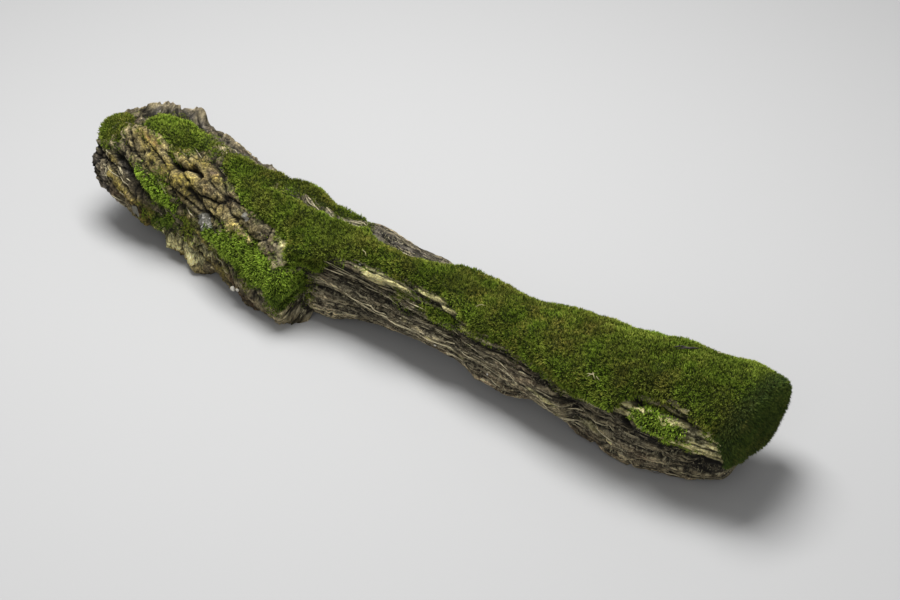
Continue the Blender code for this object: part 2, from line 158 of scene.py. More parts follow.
# Lines on the skin: along and angle of both ends, half width, depth or height
GROOVES = (
    (-0.538, 55.0, -0.518, 47.0, 0.006, 0.020),
    (-0.518, 47.0, -0.488, 46.0, 0.006, 0.024),
    (-0.488, 46.0, -0.470, 52.0, 0.005, 0.020),
    (-0.470, 52.0, -0.442, 49.0, 0.005, 0.018),
    (-0.455, 30.0, -0.375, 14.0, 0.007, 0.014),
    (-0.660, 29.0, -0.610, 15.0, 0.012, 0.024),
    (-0.610, 15.0, -0.568, 4.0, 0.012, 0.022),
    (-0.570, 128.0, -0.440, 140.0, 0.045, 0.016),
    (0.612, 35.0, 0.655, 37.0, 0.006, 0.015),
    (0.655, 37.0, 0.700, 37.0, 0.006, 0.014),
    (-0.735, 44.0, -0.722, -14.0, 0.005, 0.012),
    (-0.712, 36.0, -0.694, -30.0, 0.005, 0.013),
    (-0.690, 60.0, -0.672, 26.0, 0.006, 0.012),
    (-0.655, -12.0, -0.640, -48.0, 0.007, 0.012),
    (-0.600, 10.0, -0.575, -22.0, 0.005, 0.008),
    (-0.250, 38.0, -0.165, 34.0, 0.014, 0.010),
    (-0.470, -8.0, -0.330, -22.0, 0.008, 0.009),
    (-0.755, -36.0, -0.725, -56.0, 0.032, 0.020),
    (-0.310, -35.0, -0.290, -39.0, 0.014, 0.013),
    (-0.170, 132.0, -0.120, 130.0, 0.030, 0.009),
    (0.400, -47.0, 0.450, -51.0, 0.030, 0.013),
)
RIDGES = (
    (-0.700, -4.0, -0.600, -24.0, 0.014, 0.010),
    (-0.255, 27.0, -0.175, 6.0, 0.014, 0.010),
    (-0.610, 42.0, -0.500, 36.0, 0.020, 0.004),
    (-0.480, 38.0, -0.330, 22.0, 0.024, 0.003),
    (-0.700, 114.0, -0.665, 118.0, 0.022, 0.014),
    (-0.610, 125.0, -0.585, 128.0, 0.018, 0.014),
    (-0.420, -44.0, -0.400, -47.0, 0.018, 0.014),
    (-0.500, -38.0, -0.425, -44.0, 0.030, 0.030),
    (-0.565, -26.0, -0.430, -38.0, 0.009, 0.007),
    (-0.684, 12.0, -0.622, -5.0, 0.009, 0.009),
    (-0.622, -5.0, -0.570, -11.0, 0.008, 0.007),
    (-0.130, -50.0, -0.090, -51.0, 0.036, 0.013),
    (0.006, 43.0, 0.014, 35.0, 0.006, 0.008),
    (0.034, 42.0, 0.044, 34.0, 0.006, 0.009),
    (0.062, 43.0, 0.068, 37.0, 0.005, 0.007),
    (0.084, 42.0, 0.094, 34.0, 0.006, 0.008),
    (0.270, -46.0, 0.330, -46.0, 0.028, 0.013),
)
# Points of each ledge line, and how far the wood below it is set back
LEDGES = (
    (((-0.135, 27.0), (-0.10, 33.0), (-0.05, 32.0), (0.045, 30.0)), 0.012),
    (((0.065, 43.0), (0.11, 46.0), (0.17, 48.0), (0.215, 37.0)), 0.013),
    (((0.50, 12.0), (0.56, 15.0), (0.62, 19.0), (0.67, 12.0), (0.78, 13.0)), 0.019),
)
LEDGE_RISE = 5.0
LEDGE_FADE = 0.03
LEDGE_DEEP = 32.0
LEDGE_OUT_AGAIN = 80.0

# Fine relief of the bark: plates have a length, a width and a seed
BIG_PLATES = (0.105, 0.046, 5.0)
SMALL_PLATES = (0.046, 0.022, 23.0)
TIP_SLABS = (0.140, 0.034, 61.0)
BIG_CRACK_DEPTH = 0.007
BIG_CRACK_WIDTH = 0.10
SMALL_CRACK_DEPTH = 0.0024
SMALL_CRACK_WIDTH = 0.14
SLAB_CRACK_DEPTH = 0.008
SLAB_CRACK_WIDTH = 0.13
SPLIT_WIDTH = 0.09
SPLIT_STRENGTH = 0.7
RUT_SPLIT_WIDTH = 0.07
BIG_PLATE_LIFT = 0.005
SMALL_PLATE_LIFT = 0.002
SLAB_LIFT = 0.005
LAYER_HEIGHT = 0.007
LAYER_COUNT = 5
STEP_HEIGHT = 0.012
STEP_COUNT = 6
RISER_START = 0.72
CRUST_HEIGHT = 0.0042
FINE_CRUST_HEIGHT = 0.0036
TIP_CRUST_HEIGHT = 0.003
TIP_STEM_SHARE = 0.6
RUT_DEPTH = 0.0060
RUT_WIDTH = 0.10
FIBRE_DEPTH = 0.0026
FIBRE_WIDTH = 0.16
THREAD_HEIGHT = 0.0024
BARK_UNDER_MOSS = 0.85
BUTT_BARK_END = (-0.24, -0.13)
TIP_BARK_START = (0.28, 0.50)
LOWER_SINES = (0.55, 0.15)
JAGGED_EDGE = (-0.690, 108.0, -0.560, 128.0, 0.026)
JAG_HEIGHT = 0.022
BEND_LENGTH = 0.016
BEND_DEGREES = 8.0
CALM_RIM = (0.60, 1.0)
TORN_RIM = (1.0, 0.88)
TORN_END_DEPTH = 0.018
TORN_END_RATE_ACROSS = 6.0
TORN_END_RATE_UP = 3.0
TORN_END_SEED = 91.0
# Wander of the skin's points: its seed, rate, reach everywhere and what the butt or torn wood adds
WANDER_SEED = 7
CRUMBLE_RATE = 240.0
CRUMBLE = 0.0005
BUTT_CRUMBLE = 0.0010
SHIFT_RATE = 70.0
SHIFT = 0.0016
TORN_SHIFT = 0.0060
ROT_SHIFT = 0.0040
# Hollows of the bark, which give the painted shade in the hollows and the painted highlight on the ridges:
# how many steps of the grid each blur reaches, and its weight
HOLLOWS = ((4, 1.0), (2, 1.0), (9, 0.6))
HOLLOW_DEPTH = 0.0055
TORN_HOLLOW = 2.2
COLOUR_WANDER_SHARE = 0.9
PALE_LEAST = 0.35
PALE_MORE = 0.45
PALE_BAND = (-0.3, 0.4)
CRACKLE_LEAST = 0.10
CRACKLE_BUTT = 0.35
CRACKLE_TIP = 0.25
CRACKLE_BAND = (-0.25, 0.25)
GREY_END_FACE = 0.55
LICHEN_MORE = 0.3

# The grid of the bark's skin
BUTT_GRID_END = -0.13
BUTT_GRID_ROWS = 268
STEM_GRID_ROWS = 262
END_GRID_RINGS = 22
BARK_GRID_COLUMNS = 170
NEAR_SIDE_CROWDING = 0.38
NEAR_SIDE_ANGLE = 22.0

# The moss carpet: along, angle of its near edge, angle of its far edge
CARPET = np.array((
    (-0.440, 86.0, 92.0),
    (-0.400, 68.0, 104.0),
    (-0.340, 51.0, 115.0),
    (-0.285, 43.0, 128.0),
    (-0.235, 36.0, 142.0),
    (-0.183, 33.0, 146.0),
    (-0.163, 10.0, 146.0),
    (-0.110, 6.0, 138.0),
    (-0.090, 36.0, 128.0),
    (-0.050, 45.0, 100.0),
    (0.000, 48.0, 92.0),
    (0.050, 53.0, 90.0),
    (0.100, 50.0, 98.0),
    (0.150, 55.0, 135.0),
    (0.200, 50.0, 146.0),
    (0.240, 36.0, 152.0),
    (0.320, 30.0, 156.0),
    (0.400, 26.0, 160.0),
    (0.470, 20.0, 162.0),
    (0.540, 16.0, 166.0),
    (0.580, 16.0, 168.0),
    (0.600, 32.0, 169.0),
    (0.615, 43.0, 169.0),
    (0.650, 43.0, 170.0),
    (0.685, 43.0, 172.0),
    (0.710, 38.0, 178.0),
    (0.740, 34.0, 190.0),
    (0.765, 24.0, 208.0),
    (0.830, 10.0, 214.0),
))
CARPET_THICK = 0.016
TIP_MOSS_FLOOR = -0.045
TIP_MOSS_SLOPE = 0.2
BARE_STRIP = (-0.178, 102.0, 0.088, 0.019, 70.0)

# Moss cushions: name, along, angle, half length, half width, tilt in degrees per metre, thickness
CUSHIONS = (
    ("moss_butt_clump", -0.560, 86.0, 0.084, 0.038, 0.0, 0.016),
    ("moss_butt_end", -0.712, 66.0, 0.046, 0.048, 0.0, 0.006),
    ("moss_furrow_strip", -0.528, 13.0, 0.064, 0.022, -210.0, 0.013),
    ("moss_lower_strip", -0.515, -15.0, 0.060, 0.014, 130.0, 0.011),
    ("moss_side_patch", 0.185, 27.0, 0.062, 0.018, 20.0, 0.009),
    ("moss_shelf", 0.655, 22.0, 0.050, 0.022, -60.0, 0.010),
)
LIMB_PAD = np.array((
    (-0.390, 1.0, -3.0),
    (-0.360, 5.0, -6.0),
    (-0.310, 10.0, -9.0),
    (-0.250, 13.0, -13.0),
    (-0.200, 12.0, -19.0),
    (-0.150, 10.0, -29.0),
    (-0.140, 8.0, -31.0),
))
LIMB_PAD_THICK = 0.014
FRESHNESS = {
    "moss_butt_clump": 0.65,
    "moss_butt_end": 0.1,
    "moss_furrow_strip": 2.1,
    "moss_lower_strip": 1.1,
    "moss_side_patch": 0.2,
    "moss_shelf": 2.0,
    "moss_limb_pad": 1.0,
}
EDGE_WANDER = 0.007
EDGE_FRAY = 0.006
MOSS_EDGE = 0.0028
MOSS_EDGE_REACH = (0.0, 0.036)
MOSS_EDGE_RISE = (0.002, 0.016)
MOSS_EDGE_SINK = 0.0020
MOSS_LUMP = 0.35
MOSS_TUFT = 0.12
MOSS_FINE_TUFT = 0.06
FAR_INSIDE = 0.05
MOSS_SPILL = 0.007
COVER_REACH = (-0.004, 0.012)
ALGAE_REACH = (-0.030, 0.0)
FRINGE = 0.010
END_FACE_THINNING = 0.55
# How far the felt stays below the moss's own height, in shoots, and how deep its foot lies in the bark
FELT_BELOW_TIPS = 0.62
FELT_DEPTH = 0.0045
LUSH_REACH = (0.0, 0.022)
LUSH_WANDER = 0.009
THIN_START = (0.2, 0.8)
THIN_SHARE = 0.35
THIN_SPOT_SHARE = 0.6
THINNEST = 0.08
# The droop also sets painted shade: shoots darken from a droop of 0.77 to 0.90, fully on the end face
DROOP_TOP = 0.25
DROOP_SIDE = 0.6
DROOP_SINES = (0.5, -0.3)
DROOP_SHOULDER = 0.65
SHOULDER_START = 0.670
DROOP_END_FACE = 0.9
EDGE_BAND = (0.004, 0.030)
LOW_EDGE_SINES = (0.95, 0.6)
LOW_EDGE_DROOP = 0.75
LONGER = 0.45
LOW_EDGE_FRESH = 0.85
FRESH_FADE = (0.0, 0.3)

# Grids of the moss: along from and to, angle from and to, cell, rings on the end face
CARPET_GRID = (-0.450, TIP_X, -90.0, 270.0, 0.0038, 22)
LIMB_PAD_GRID = (-0.480, -0.120, -55.0, 35.0, 0.0030, 0)
STRAY_GRID = (BUTT_X + 0.02, TIP_X - 0.02, -45.0, 190.0, 0.0065, 0)
CUSHION_CELL = 0.0028
CUSHION_MARGIN = 0.012
CUSHION_SIDE_MARGIN = 0.014
INNERMOST_RING = 0.05
CARPET_SECTIONS = 5

# Shoots: name, blades, spread, width, seed
SHOOTS = (
    ("shoot_star", 3, 0.42, 0.095, 1),
    ("shoot_tuft", 3, 0.26, 0.100, 2),
    ("shoot_fan", 4, 0.60, 0.080, 3),
    ("shoot_spear", 2, 0.16, 0.110, 4),
)
STRAY_SHOOTS = (
    ("shoot_low", 5, 0.55, 0.10, 5),
    ("shoot_bud", 4, 0.30, 0.11, 6),
)
# Share of a blade's height and half its width there, as a share of the full half width
BLADE_ROWS = ((0.0, 0.45), (0.5, 1.0), (1.0, 0.0))
BLADE_CURVE = 1.6
BLADE_BOW = 0.15
SHOOT_SEED = 100
STRAY_SEED = 301
STRAY_START = (-0.034, -0.002)
STRAY_END = (0.004, 0.012)
STRAY_PATCH = (0.0, 0.45)
STRAY_SPOT_SHARE = 0.5
STRAY_SHIFT = 0.12
STRAY_SHARE = 0.75
STRAY_LEAST = 0.02
STRAY_DROOP = 0.2
STRAY_SPACING = 1.15
STRAY_SIZE = 0.85
STRAY_FRESHNESS = 0.35

# Litter. A stalk: along and angle of both ends, radius, arch
STRAWS = (
    (0.522, 38.0, 0.534, 44.0, 0.0006, 0.002),
    (0.528, 44.0, 0.540, 39.0, 0.0006, 0.001),
    (0.520, 41.0, 0.534, 42.0, 0.0006, 0.003),
    (0.538, 42.0, 0.548, 40.0, 0.0005, 0.001),
    (0.250, 60.0, 0.266, 66.0, 0.0006, 0.002),
    (-0.020, 62.0, -0.002, 58.0, 0.0006, 0.002),
    (0.670, 122.0, 0.674, 124.0, 0.0014, 0.001),
)
TWIGS = (
    (0.616, 104.0, 0.646, 116.0, 0.0030, 0.000),
    (0.622, 103.0, 0.640, 109.0, 0.0018, 0.002),
)
# Lichen: along, angle, reach, how many lumps
LICHENS = (
    (-0.391, 5.0, 0.014, 10),
    (-0.567, 98.0, 0.009, 8),
    (-0.704, 70.0, 0.010, 8),
)
# Pale crumbs: along, angle, size
CRUMBS = (
    (-0.280, -28.0, 0.015),
    (-0.270, -27.0, 0.008),
    (0.180, -20.0, 0.006),
    (-0.110, 20.0, 0.007),
    (0.300, -30.0, 0.005),
    (0.055, 97.0, 0.006),
    (0.090, 103.0, 0.008),
    (-0.020, 45.0, 0.006),
    (0.640, 16.0, 0.006),
)
# Splinters: along from and to, angle of their grain from and to, how many, shortest, longest
SPLINTER_ZONES = (
    (-0.150, 0.620, -42.0, 34.0, 100, 0.030, 0.120),
    (-0.300, 0.140, 92.0, 122.0, 36, 0.030, 0.080),
    (-0.560, -0.200, -40.0, 120.0, 26, 0.020, 0.050),
    (0.300, 0.760, -55.0, 8.0, 30, 0.020, 0.060),
    (-0.740, -0.620, -30.0, 40.0, 26, 0.020, 0.060),
)
SPLINTER_SEED = 77
SPLINTER_SWAY = (-3.0, 3.0)
SPLINTER_BENDS = (1.5, 5.0)
SPLINTER_LIFT = (-0.0002, 0.0010)
SPLINTER_CURL = (0.002, 0.008)
CURLED_SHARE = 0.25
LIGHT_SHARE = 0.5
SPLINTER_RADIUS = (0.0005, 0.0014)
STALK_POINTS = 9
STALK_TIP = 0.12
STALK_FLATNESS = 0.7
LITTER_SEED = 5
LICHEN_SPREAD = 0.45
LICHEN_LIFT = 0.0004
LICHEN_LEAN = (-0.35, 0.35)
LICHEN_SIZE = (0.35, 0.70)
LICHEN_LARGEST = 0.012
LICHEN_FLATNESS = 0.16
CRUMB_FLATNESS = 0.6
CRUMB_LIFT = 0.3
LUMP_STRETCH = (0.75, 1.3)
LUMP_BUMP = 0.25
FULL_TURN = 6.28
# How far apart the skin is read to find its way out
SKIN_STEP = 0.004
SKIN_STEP_ANGLE = 1.5
CRUMB_LIGHT = (0.80, 0.78, 0.70, 1.0)
CRUMB_DARK = (0.55, 0.52, 0.44, 1.0)

# The studio
FLOOR_HALF = 6.0
FOCUS = (0.125, 0.0, 0.10)
# A soft light: its name, its place from the focus and its size
LIGHTS = (
    ("key", (-0.7, 0.3, 3.3), 1.9),
    ("fill", (1.6, -2.6, 1.8), 2.4),
)
CAMERA_AZIMUTH = 39.0
CAMERA_ELEVATION = 37.0
CAMERA_DISTANCE = 3.36
LENS = 70.0
SENSOR_WIDTH = 36.0

# Noise fields: how fast each changes along the log and round it, its seed and, if it is rough, its octaves
LUMPS = (8.0, 1.6, 3.0)
FURROWS = (6.0, 2.3, 11.0)
END_SPLINTERS = (3.0, 2.1, 47.0)
LIMB_SPLINTERS = (26.0, 7.0, 97.0, 3)
BEND_ALONG = (8.0, 1.2, 71.0)
BEND_ROUND = (10.0, 1.3, 73.0)
LAYERS = (7.0, 2.4, 13.0)
STEPS = (2.6, 3.0, 47.0)
CRUST = (48.0, 4.8, 17.0)
FINE_CRUST = (110.0, 11.0, 18.0, 3)
TIP_CRUST = (34.0, 3.4, 63.0)
RUTS = (3.6, 4.4, 41.0)
FIBRES = (5.5, 13.0, 43.0)
THREADS = (9.0, 26.0, 45.0, 3)
PEAKS = (26.0, 2.8, 83.0, 3)
PALE_PATCHES = (9.0, 1.6, 95.0)
CRACKLE_PATCHES = (14.0, 2.0, 96.0)
COLOUR_WANDER = (34.0, 3.4, 29.0)
MOSS_FRINGE = (50.0, 5.0, 19.0, 3)
EDGE_BAYS = (26.0, 2.6, 31.0)
EDGE_TUFTS = (85.0, 8.5, 33.0, 3)
EDGE_NOTCHES = (44.0, 4.4, 35.0)
MOSS_LUMPS = (22.0, 2.2, 37.0)
MOSS_TUFTS = (62.0, 6.2, 39.0)
MOSS_FINE_TUFTS = (140.0, 14.0, 40.0)
THIN_PATCHES = (36.0, 3.6, 57.0)
THIN_SPOTS = (90.0, 9.0, 58.0)
STRAY_PATCHES = (20.0, 2.4, 61.0)
STRAY_SPOTS = (60.0, 6.0, 62.0)
ROUGHNESS = 0.8
FACE_ROUGHNESS = 0.7
LACUNARITY = 2.0
FACE_OCTAVES = 5
# Turns a plate's centre into a value of its own
PLATE_HASH = (12.9, 78.2, 37.7)
PLATE_HASH_GAIN = 43758.5

# Where the bark takes each colour: lines on the skin with a half width and a strength
OCHRE_PLACES = (
    (-0.625, 58.0, -0.560, 48.0, 0.022, 1.0),
    (-0.530, 70.0, -0.480, 56.0, 0.014, 1.0),
    (-0.560, 42.0, -0.450, 32.0, 0.026, 0.9),
    (-0.440, 34.0, -0.280, 18.0, 0.034, 0.4),
    (-0.480, 66.0, -0.400, 60.0, 0.024, 0.7),
    (-0.440, -8.0, -0.330, -26.0, 0.022, 0.9),
    (-0.600, -26.0, -0.500, -34.0, 0.022, 0.8),
    (-0.684, 12.0, -0.622, -5.0, 0.009, 1.0),
    (-0.622, -5.0, -0.562, -11.0, 0.008, 0.9),
    (-0.690, 27.0, -0.672, 22.0, 0.006, 1.0),
    (-0.600, -23.0, -0.447, -29.0, 0.016, 1.0),
    (-0.447, -27.0, -0.350, -28.0, 0.017, 0.8),
    (-0.540, -28.0, -0.410, -38.0, 0.020, 0.6),
    (-0.630, 100.0, -0.520, 118.0, 0.014, 0.6),
)
CREAM_PLACES = (
    (-0.560, -25.0, -0.480, -32.0, 0.010, 1.0),
    (-0.470, -30.0, -0.400, -34.0, 0.012, 0.8),
    (-0.420, -18.0, -0.370, -24.0, 0.012, 0.7),
    (-0.200, 31.0, -0.160, 20.0, 0.012, 1.0),
    (0.005, 42.0, 0.095, 42.0, 0.013, 1.0),
    (0.022, 38.0, 0.040, 33.0, 0.007, 0.9),
    (0.072, 38.0, 0.084, 31.0, 0.007, 0.9),
    (0.125, 52.0, 0.165, 51.0, 0.007, 0.9),
    (0.180, 48.0, 0.215, 42.0, 0.008, 0.9),
    (0.232, 32.0, 0.275, 28.0, 0.010, 0.9),
    (0.475, 15.0, 0.530, 11.0, 0.006, 0.9),
    (0.575, 24.0, 0.620, 25.0, 0.012, 1.0),
    (0.600, 27.0, 0.690, 31.0, 0.012, 1.0),
    (0.690, 33.0, 0.770, 22.0, 0.028, 1.0),
    (0.620, 15.0, 0.700, 8.0, 0.008, 0.9),
    (0.700, 16.0, 0.775, 5.0, 0.020, 1.0),
    (0.100, -4.0, 0.240, -24.0, 0.006, 0.45),
    (0.460, -28.0, 0.570, -36.0, 0.010, 0.38),
    (0.400, -6.0, 0.460, -14.0, 0.008, 0.35),
)
GREY_PLACES = (
    (-0.750, 24.0, -0.700, -30.0, 0.036, 0.85),
    (-0.660, 28.0, -0.568, 5.0, 0.014, 1.0),
    (-0.255, 97.0, -0.100, 107.0, 0.020, 1.0),
    (-0.060, 104.0, 0.120, 112.0, 0.034, 1.0),
    (-0.600, 122.0, -0.330, 116.0, 0.030, 0.9),
    (-0.650, 104.0, -0.560, 118.0, 0.030, 0.8),
    (-0.450, 78.0, -0.380, 66.0, 0.016, 0.5),
)
RUST_PLACES = (
    (-0.665, -4.0, -0.620, -12.0, 0.005, 0.5),
    (-0.625, -4.0, -0.590, -22.0, 0.007, 0.5),
    (-0.570, 104.0, -0.540, 112.0, 0.014, 0.8),
    (-0.290, -30.0, -0.190, -44.0, 0.012, 0.5),
    (-0.600, 62.0, -0.560, 56.0, 0.008, 0.5),
)
LICHEN_PLACES = (
    (-0.400, 8.0, -0.385, 3.0, 0.010, 1.0),
    (-0.375, 3.0, -0.360, -3.0, 0.006, 0.8),
    (-0.565, 99.0, -0.555, 96.0, 0.008, 1.0),
    (-0.735, 70.0, -0.712, 62.0, 0.010, 0.9),
    (-0.625, -14.0, -0.615, -18.0, 0.006, 0.8),
    (-0.300, 36.0, -0.290, 33.0, 0.006, 0.6),
    (0.040, 96.0, 0.100, 100.0, 0.005, 0.9),
)
# Painted shade: dark lines under ledges and in grooves, crevices and recesses, where shade falls
SHADE_PLACES = (
    (-0.735, 44.0, -0.722, -14.0, 0.005, 0.8),
    (-0.712, 36.0, -0.694, -30.0, 0.006, 0.9),
    (-0.690, 60.0, -0.672, 26.0, 0.007, 0.8),
    (-0.600, 10.0, -0.575, -22.0, 0.005, 0.7),
    (-0.120, 27.0, -0.010, 33.0, 0.009, 0.8),
    (-0.150, -20.0, 0.060, -30.0, 0.014, 0.45),
    (-0.020, 12.0, 0.120, 2.0, 0.007, 0.5),
    (0.260, 20.0, 0.420, 12.0, 0.008, 0.5),
    (0.420, 4.0, 0.560, -12.0, 0.007, 0.5),
    (-0.655, 27.0, -0.610, 15.0, 0.008, 0.70),
    (-0.610, 15.0, -0.568, 4.0, 0.009, 0.75),
    (-0.538, 55.0, -0.518, 47.0, 0.005, 1.0),
    (-0.518, 47.0, -0.488, 46.0, 0.005, 1.0),
    (-0.488, 46.0, -0.470, 52.0, 0.004, 1.0),
    (-0.470, 52.0, -0.442, 49.0, 0.004, 0.9),
    (-0.100, 18.0, -0.040, 8.0, 0.010, 0.6),
    (-0.455, 30.0, -0.375, 14.0, 0.005, 0.7),
    (0.600, 5.0, 0.650, -2.0, 0.013, 1.0),
    (0.650, -2.0, 0.705, -6.0, 0.011, 1.0),
    (0.705, -6.0, 0.775, -14.0, 0.010, 0.9),
    (0.070, 38.0, 0.200, 32.0, 0.006, 0.6),
    (0.230, 18.0, 0.300, 8.0, 0.008, 0.7),
    (-0.140, -2.0, -0.060, 22.0, 0.012, 0.7),
    (0.612, 35.0, 0.655, 37.0, 0.006, 1.0),
    (0.655, 37.0, 0.700, 37.0, 0.006, 1.0),
)


# Shape functions

def smoothstep(start, end, value):
    share = np.clip((value - start) / (end - start), 0.0, 1.0)
    return share * share * (3.0 - 2.0 * share)


def along_stations(x, column):
    """A smooth curve through one column of the stations."""
    places = STATIONS[:, 0]
    values = STATIONS[:, column]
    x = np.clip(x, places[0], places[-1])
    i = np.clip(np.searchsorted(places, x) - 1, 0, len(places) - 2)
    slopes = np.gradient(values, places)
    step = places[i + 1] - places[i]
    t = (x - places[i]) / step
    start = (2 * t**3 - 3 * t**2 + 1) * values[i] + (t**3 - 2 * t**2 + t) * step * slopes[i]
    end = (3 * t**2 - 2 * t**3) * values[i + 1] + (t**3 - t**2) * step * slopes[i + 1]
    return start + end


def turn(angle):
    """The same angle between -180 and 180 degrees."""
    return (angle + 180.0) % 360.0 - 180.0


def tube_points(x, angle, rate_along, rate_round, seed):
    """Places to read noise at, on a tube so that the noise has no seam."""
    radians = np.radians(angle)
    columns = (x * rate_along + seed, np.cos(radians) * rate_round, np.sin(radians) * rate_round)
    return np.stack([column.ravel() for column in columns], axis=-1).tolist()


def tube_noise(x, angle, rate_along, rate_round, seed):
    """Smooth noise from -1 to 1."""
    points = tube_points(x, angle, rate_along, rate_round, seed)
    return np.array([noise.noise(p) for p in points]).reshape(x.shape)


def rough_noise(x, angle, rate_along, rate_round, seed, octaves=4):
    """Fractal noise, roughly from -1 to 1."""
    points = tube_points(x, angle, rate_along, rate_round, seed)
    return np.array([noise.fractal(p, ROUGHNESS, LACUNARITY, octaves) for p in points]).reshape(x.shape)


def valley(field, width):
    """1 where a field is nought, falling to 0 past the width."""
    return np.exp(-((field / width) ** 2))


def plates(x, angle, length, width, seed):
    """Bark plates: how far each point is inside its plate, 0 in the crack, and each plate's own value."""
    radius = TYPICAL_RADIUS / width
    values = [noise.voronoi(p) for p in tube_points(x, angle, 1.0 / length, radius, seed)]
    inside = np.array([distances[1] - distances[0] for distances, _ in values]).reshape(x.shape)
    a, b, c = PLATE_HASH
    names = np.array([math.sin(q[0].x * a + q[0].y * b + q[0].z * c) for _, q in values])
    return inside, (names.reshape(x.shape) * PLATE_HASH_GAIN) % 1.0


def grain_angle(x, angle):
    """The angle that follows the grain as it winds round the butt."""
    return angle + TWIST * np.minimum(x - TWIST_END, 0.0)


def wood_section(x, angle):
    """The reach of the plain stem: four quarter ellipses, a little squared."""
    near, top, far, under = (along_stations(x, column) for column in (3, 4, 5, 6))
    c = np.cos(np.radians(angle))
    s = np.sin(np.radians(angle))
    across = np.abs(c) / np.where(c > 0, near, far)
    upright = np.abs(s) / np.where(s > 0, top, under)
    return (across**SECTION_POWER + upright**SECTION_POWER) ** (-1.0 / SECTION_POWER)


def limb_stub(x, angle):
    """The broken limb, which swells out of the butt and ends in a break."""
    swell = smoothstep(LIMB_START, LIMB_FULL, x)
    swell = swell * (1.0 - smoothstep(LIMB_END, LIMB_END + LIMB_BREAK, x))
    off_side = np.abs(turn(angle - LIMB_SIDE)) / LIMB_HALF_WIDTH
    return LIMB_REACH * swell * np.exp(-(off_side**LIMB_POWER))


def wood_rim(x, angle, cover):
    """The reach of the bark without its fine relief: the stem, the limb stub and the coarse relief."""
    ragged = LIMB_RAGGED * rough_noise(x, angle, *LIMB_SPLINTERS)
    ragged = ragged * smoothstep(*LIMB_RAGGED_PART, x)
    return wood_section(x, angle) + limb_stub(x + ragged, angle) + coarse_relief(x, angle, cover)


def near_line(x, angle, line):
    """How close a point is to a short line on the skin: 1 on it, falling to 0 past its half width."""
    x0, angle0, x1, angle1, half_width = line
    arc = np.radians(TYPICAL_RADIUS)
    du = x1 - x0
    dv = (angle1 - angle0) * arc
    pu = x - x0
    pv = turn(angle - angle0) * arc
    share = np.clip((pu * du + pv * dv) / (du * du + dv * dv), 0.0, 1.0)
    return valley(np.hypot(pu - share * du, pv - share * dv), half_width)


def painted(x, angle, places):
    """The strongest of several lines at each point, from 0 to 1."""
    total = np.zeros(x.shape)
    for *line, strength in places:
        total = np.maximum(total, strength * near_line(x, angle, line))
    return total


def ledge_step(x, angle, line, step):
    """The wood below a ledge line is set back, and comes out again further down."""
    places = np.array([p[0] for p in line])
    angles = np.array([p[1] for p in line])
    below = np.interp(x, places, angles) - angle
    set_back = smoothstep(0.0, LEDGE_RISE, below) * (1.0 - smoothstep(LEDGE_DEEP, LEDGE_OUT_AGAIN, below))
    there = smoothstep(places[0] - LEDGE_FADE, places[0], x)
    there = there * (1.0 - smoothstep(places[-1], places[-1] + LEDGE_FADE, x))
    return -step * set_back * there


def coarse_relief(x, angle, cover):
    """The lumps, furrows, grooves, ridges and ledges of the wood. Moss softens the furrows under it."""
    lumps = LUMP_HEIGHT * tube_noise(x, angle, *LUMPS)
    furrows = valley(tube_noise(x, grain_angle(x, angle), *FURROWS), FURROW_WIDTH)
    more_on_butt = (BUTT_FURROW_DEPTH - STEM_FURROW_DEPTH) * (1.0 - smoothstep(*FURROWS_EASE, x))
    depth = FURROW_SHARE * (STEM_FURROW_DEPTH + more_on_butt)
    underside = smoothstep(*UNDERSIDE_SINES, -np.sin(np.radians(angle)))
    in_moss = 1.0 - FURROWS_UNDER_MOSS * cover
    relief = lumps - depth * furrows * in_moss * (1.0 - FURROWS_UNDERNEATH * underside)
    for *line, groove_depth in GROOVES:
        relief = relief - groove_depth * near_line(x, angle, line)
    for *line, ridge_height in RIDGES:
        relief = relief + ridge_height * near_line(x, angle, line)
    for line, step in LEDGES:
        relief = relief + ledge_step(x, turn(angle), line, step)
    return relief


def band(x, angle, table):
    """Metres inside a band between two edges that change along the log, negative outside."""
    arc = np.radians(TYPICAL_RADIUS)
    places = table[:, 0]
    edge_a = np.interp(x, places, table[:, 1])
    edge_b = np.interp(x, places, table[:, 2])
    half = np.abs(edge_b - edge_a) / 2
    inside_round = (half - np.abs(turn(angle - (edge_a + edge_b) / 2))) * arc
    return np.minimum(inside_round, np.minimum(x - places[0], places[-1] - x))


def oval(x, angle, middle_x, middle_angle, half_length, half_width, tilt):
    """Metres inside an oval on the skin, negative outside."""
    u = x - middle_x
    v = turn(angle - middle_angle - tilt * u) * np.radians(TYPICAL_RADIUS)
    return (1.0 - np.hypot(u / half_length, v / half_width)) * min(half_length, half_width)


def moss_inside(x, angle, spread, cap, fray):
    """For each moss node, how far inside its edge each point is, in metres. cap is 1 on the end faces."""
    wander = EDGE_WANDER * tube_noise(x, angle, *EDGE_BAYS) + fray
    carpet = np.minimum(band(x, angle, CARPET), -oval(x, angle, *BARE_STRIP))
    height = TYPICAL_RADIUS * spread * np.sin(np.radians(angle))
    towards = TYPICAL_RADIUS * spread * np.cos(np.radians(angle))
    on_tip = height - TIP_MOSS_FLOOR - TIP_MOSS_SLOPE * towards
    carpet = np.where((cap > 0) & (x > 0), on_tip, carpet)
    inside = {"moss_carpet": carpet + wander}
    for name, *place, _ in CUSHIONS:
        inside[name] = oval(x, angle, *place) + wander
    inside["moss_limb_pad"] = band(x, angle, LIMB_PAD) + wander
    for name, field in inside.items():
        if name != "moss_carpet":
            inside[name] = np.where(cap > 0, -FAR_INSIDE, field)
    return inside


def moss_thickness():
    """The thickness of each moss node apart from the carpet."""
    thickness = {name: thick for name, *_, thick in CUSHIONS}
    thickness["moss_limb_pad"] = LIMB_PAD_THICK
    return thickness


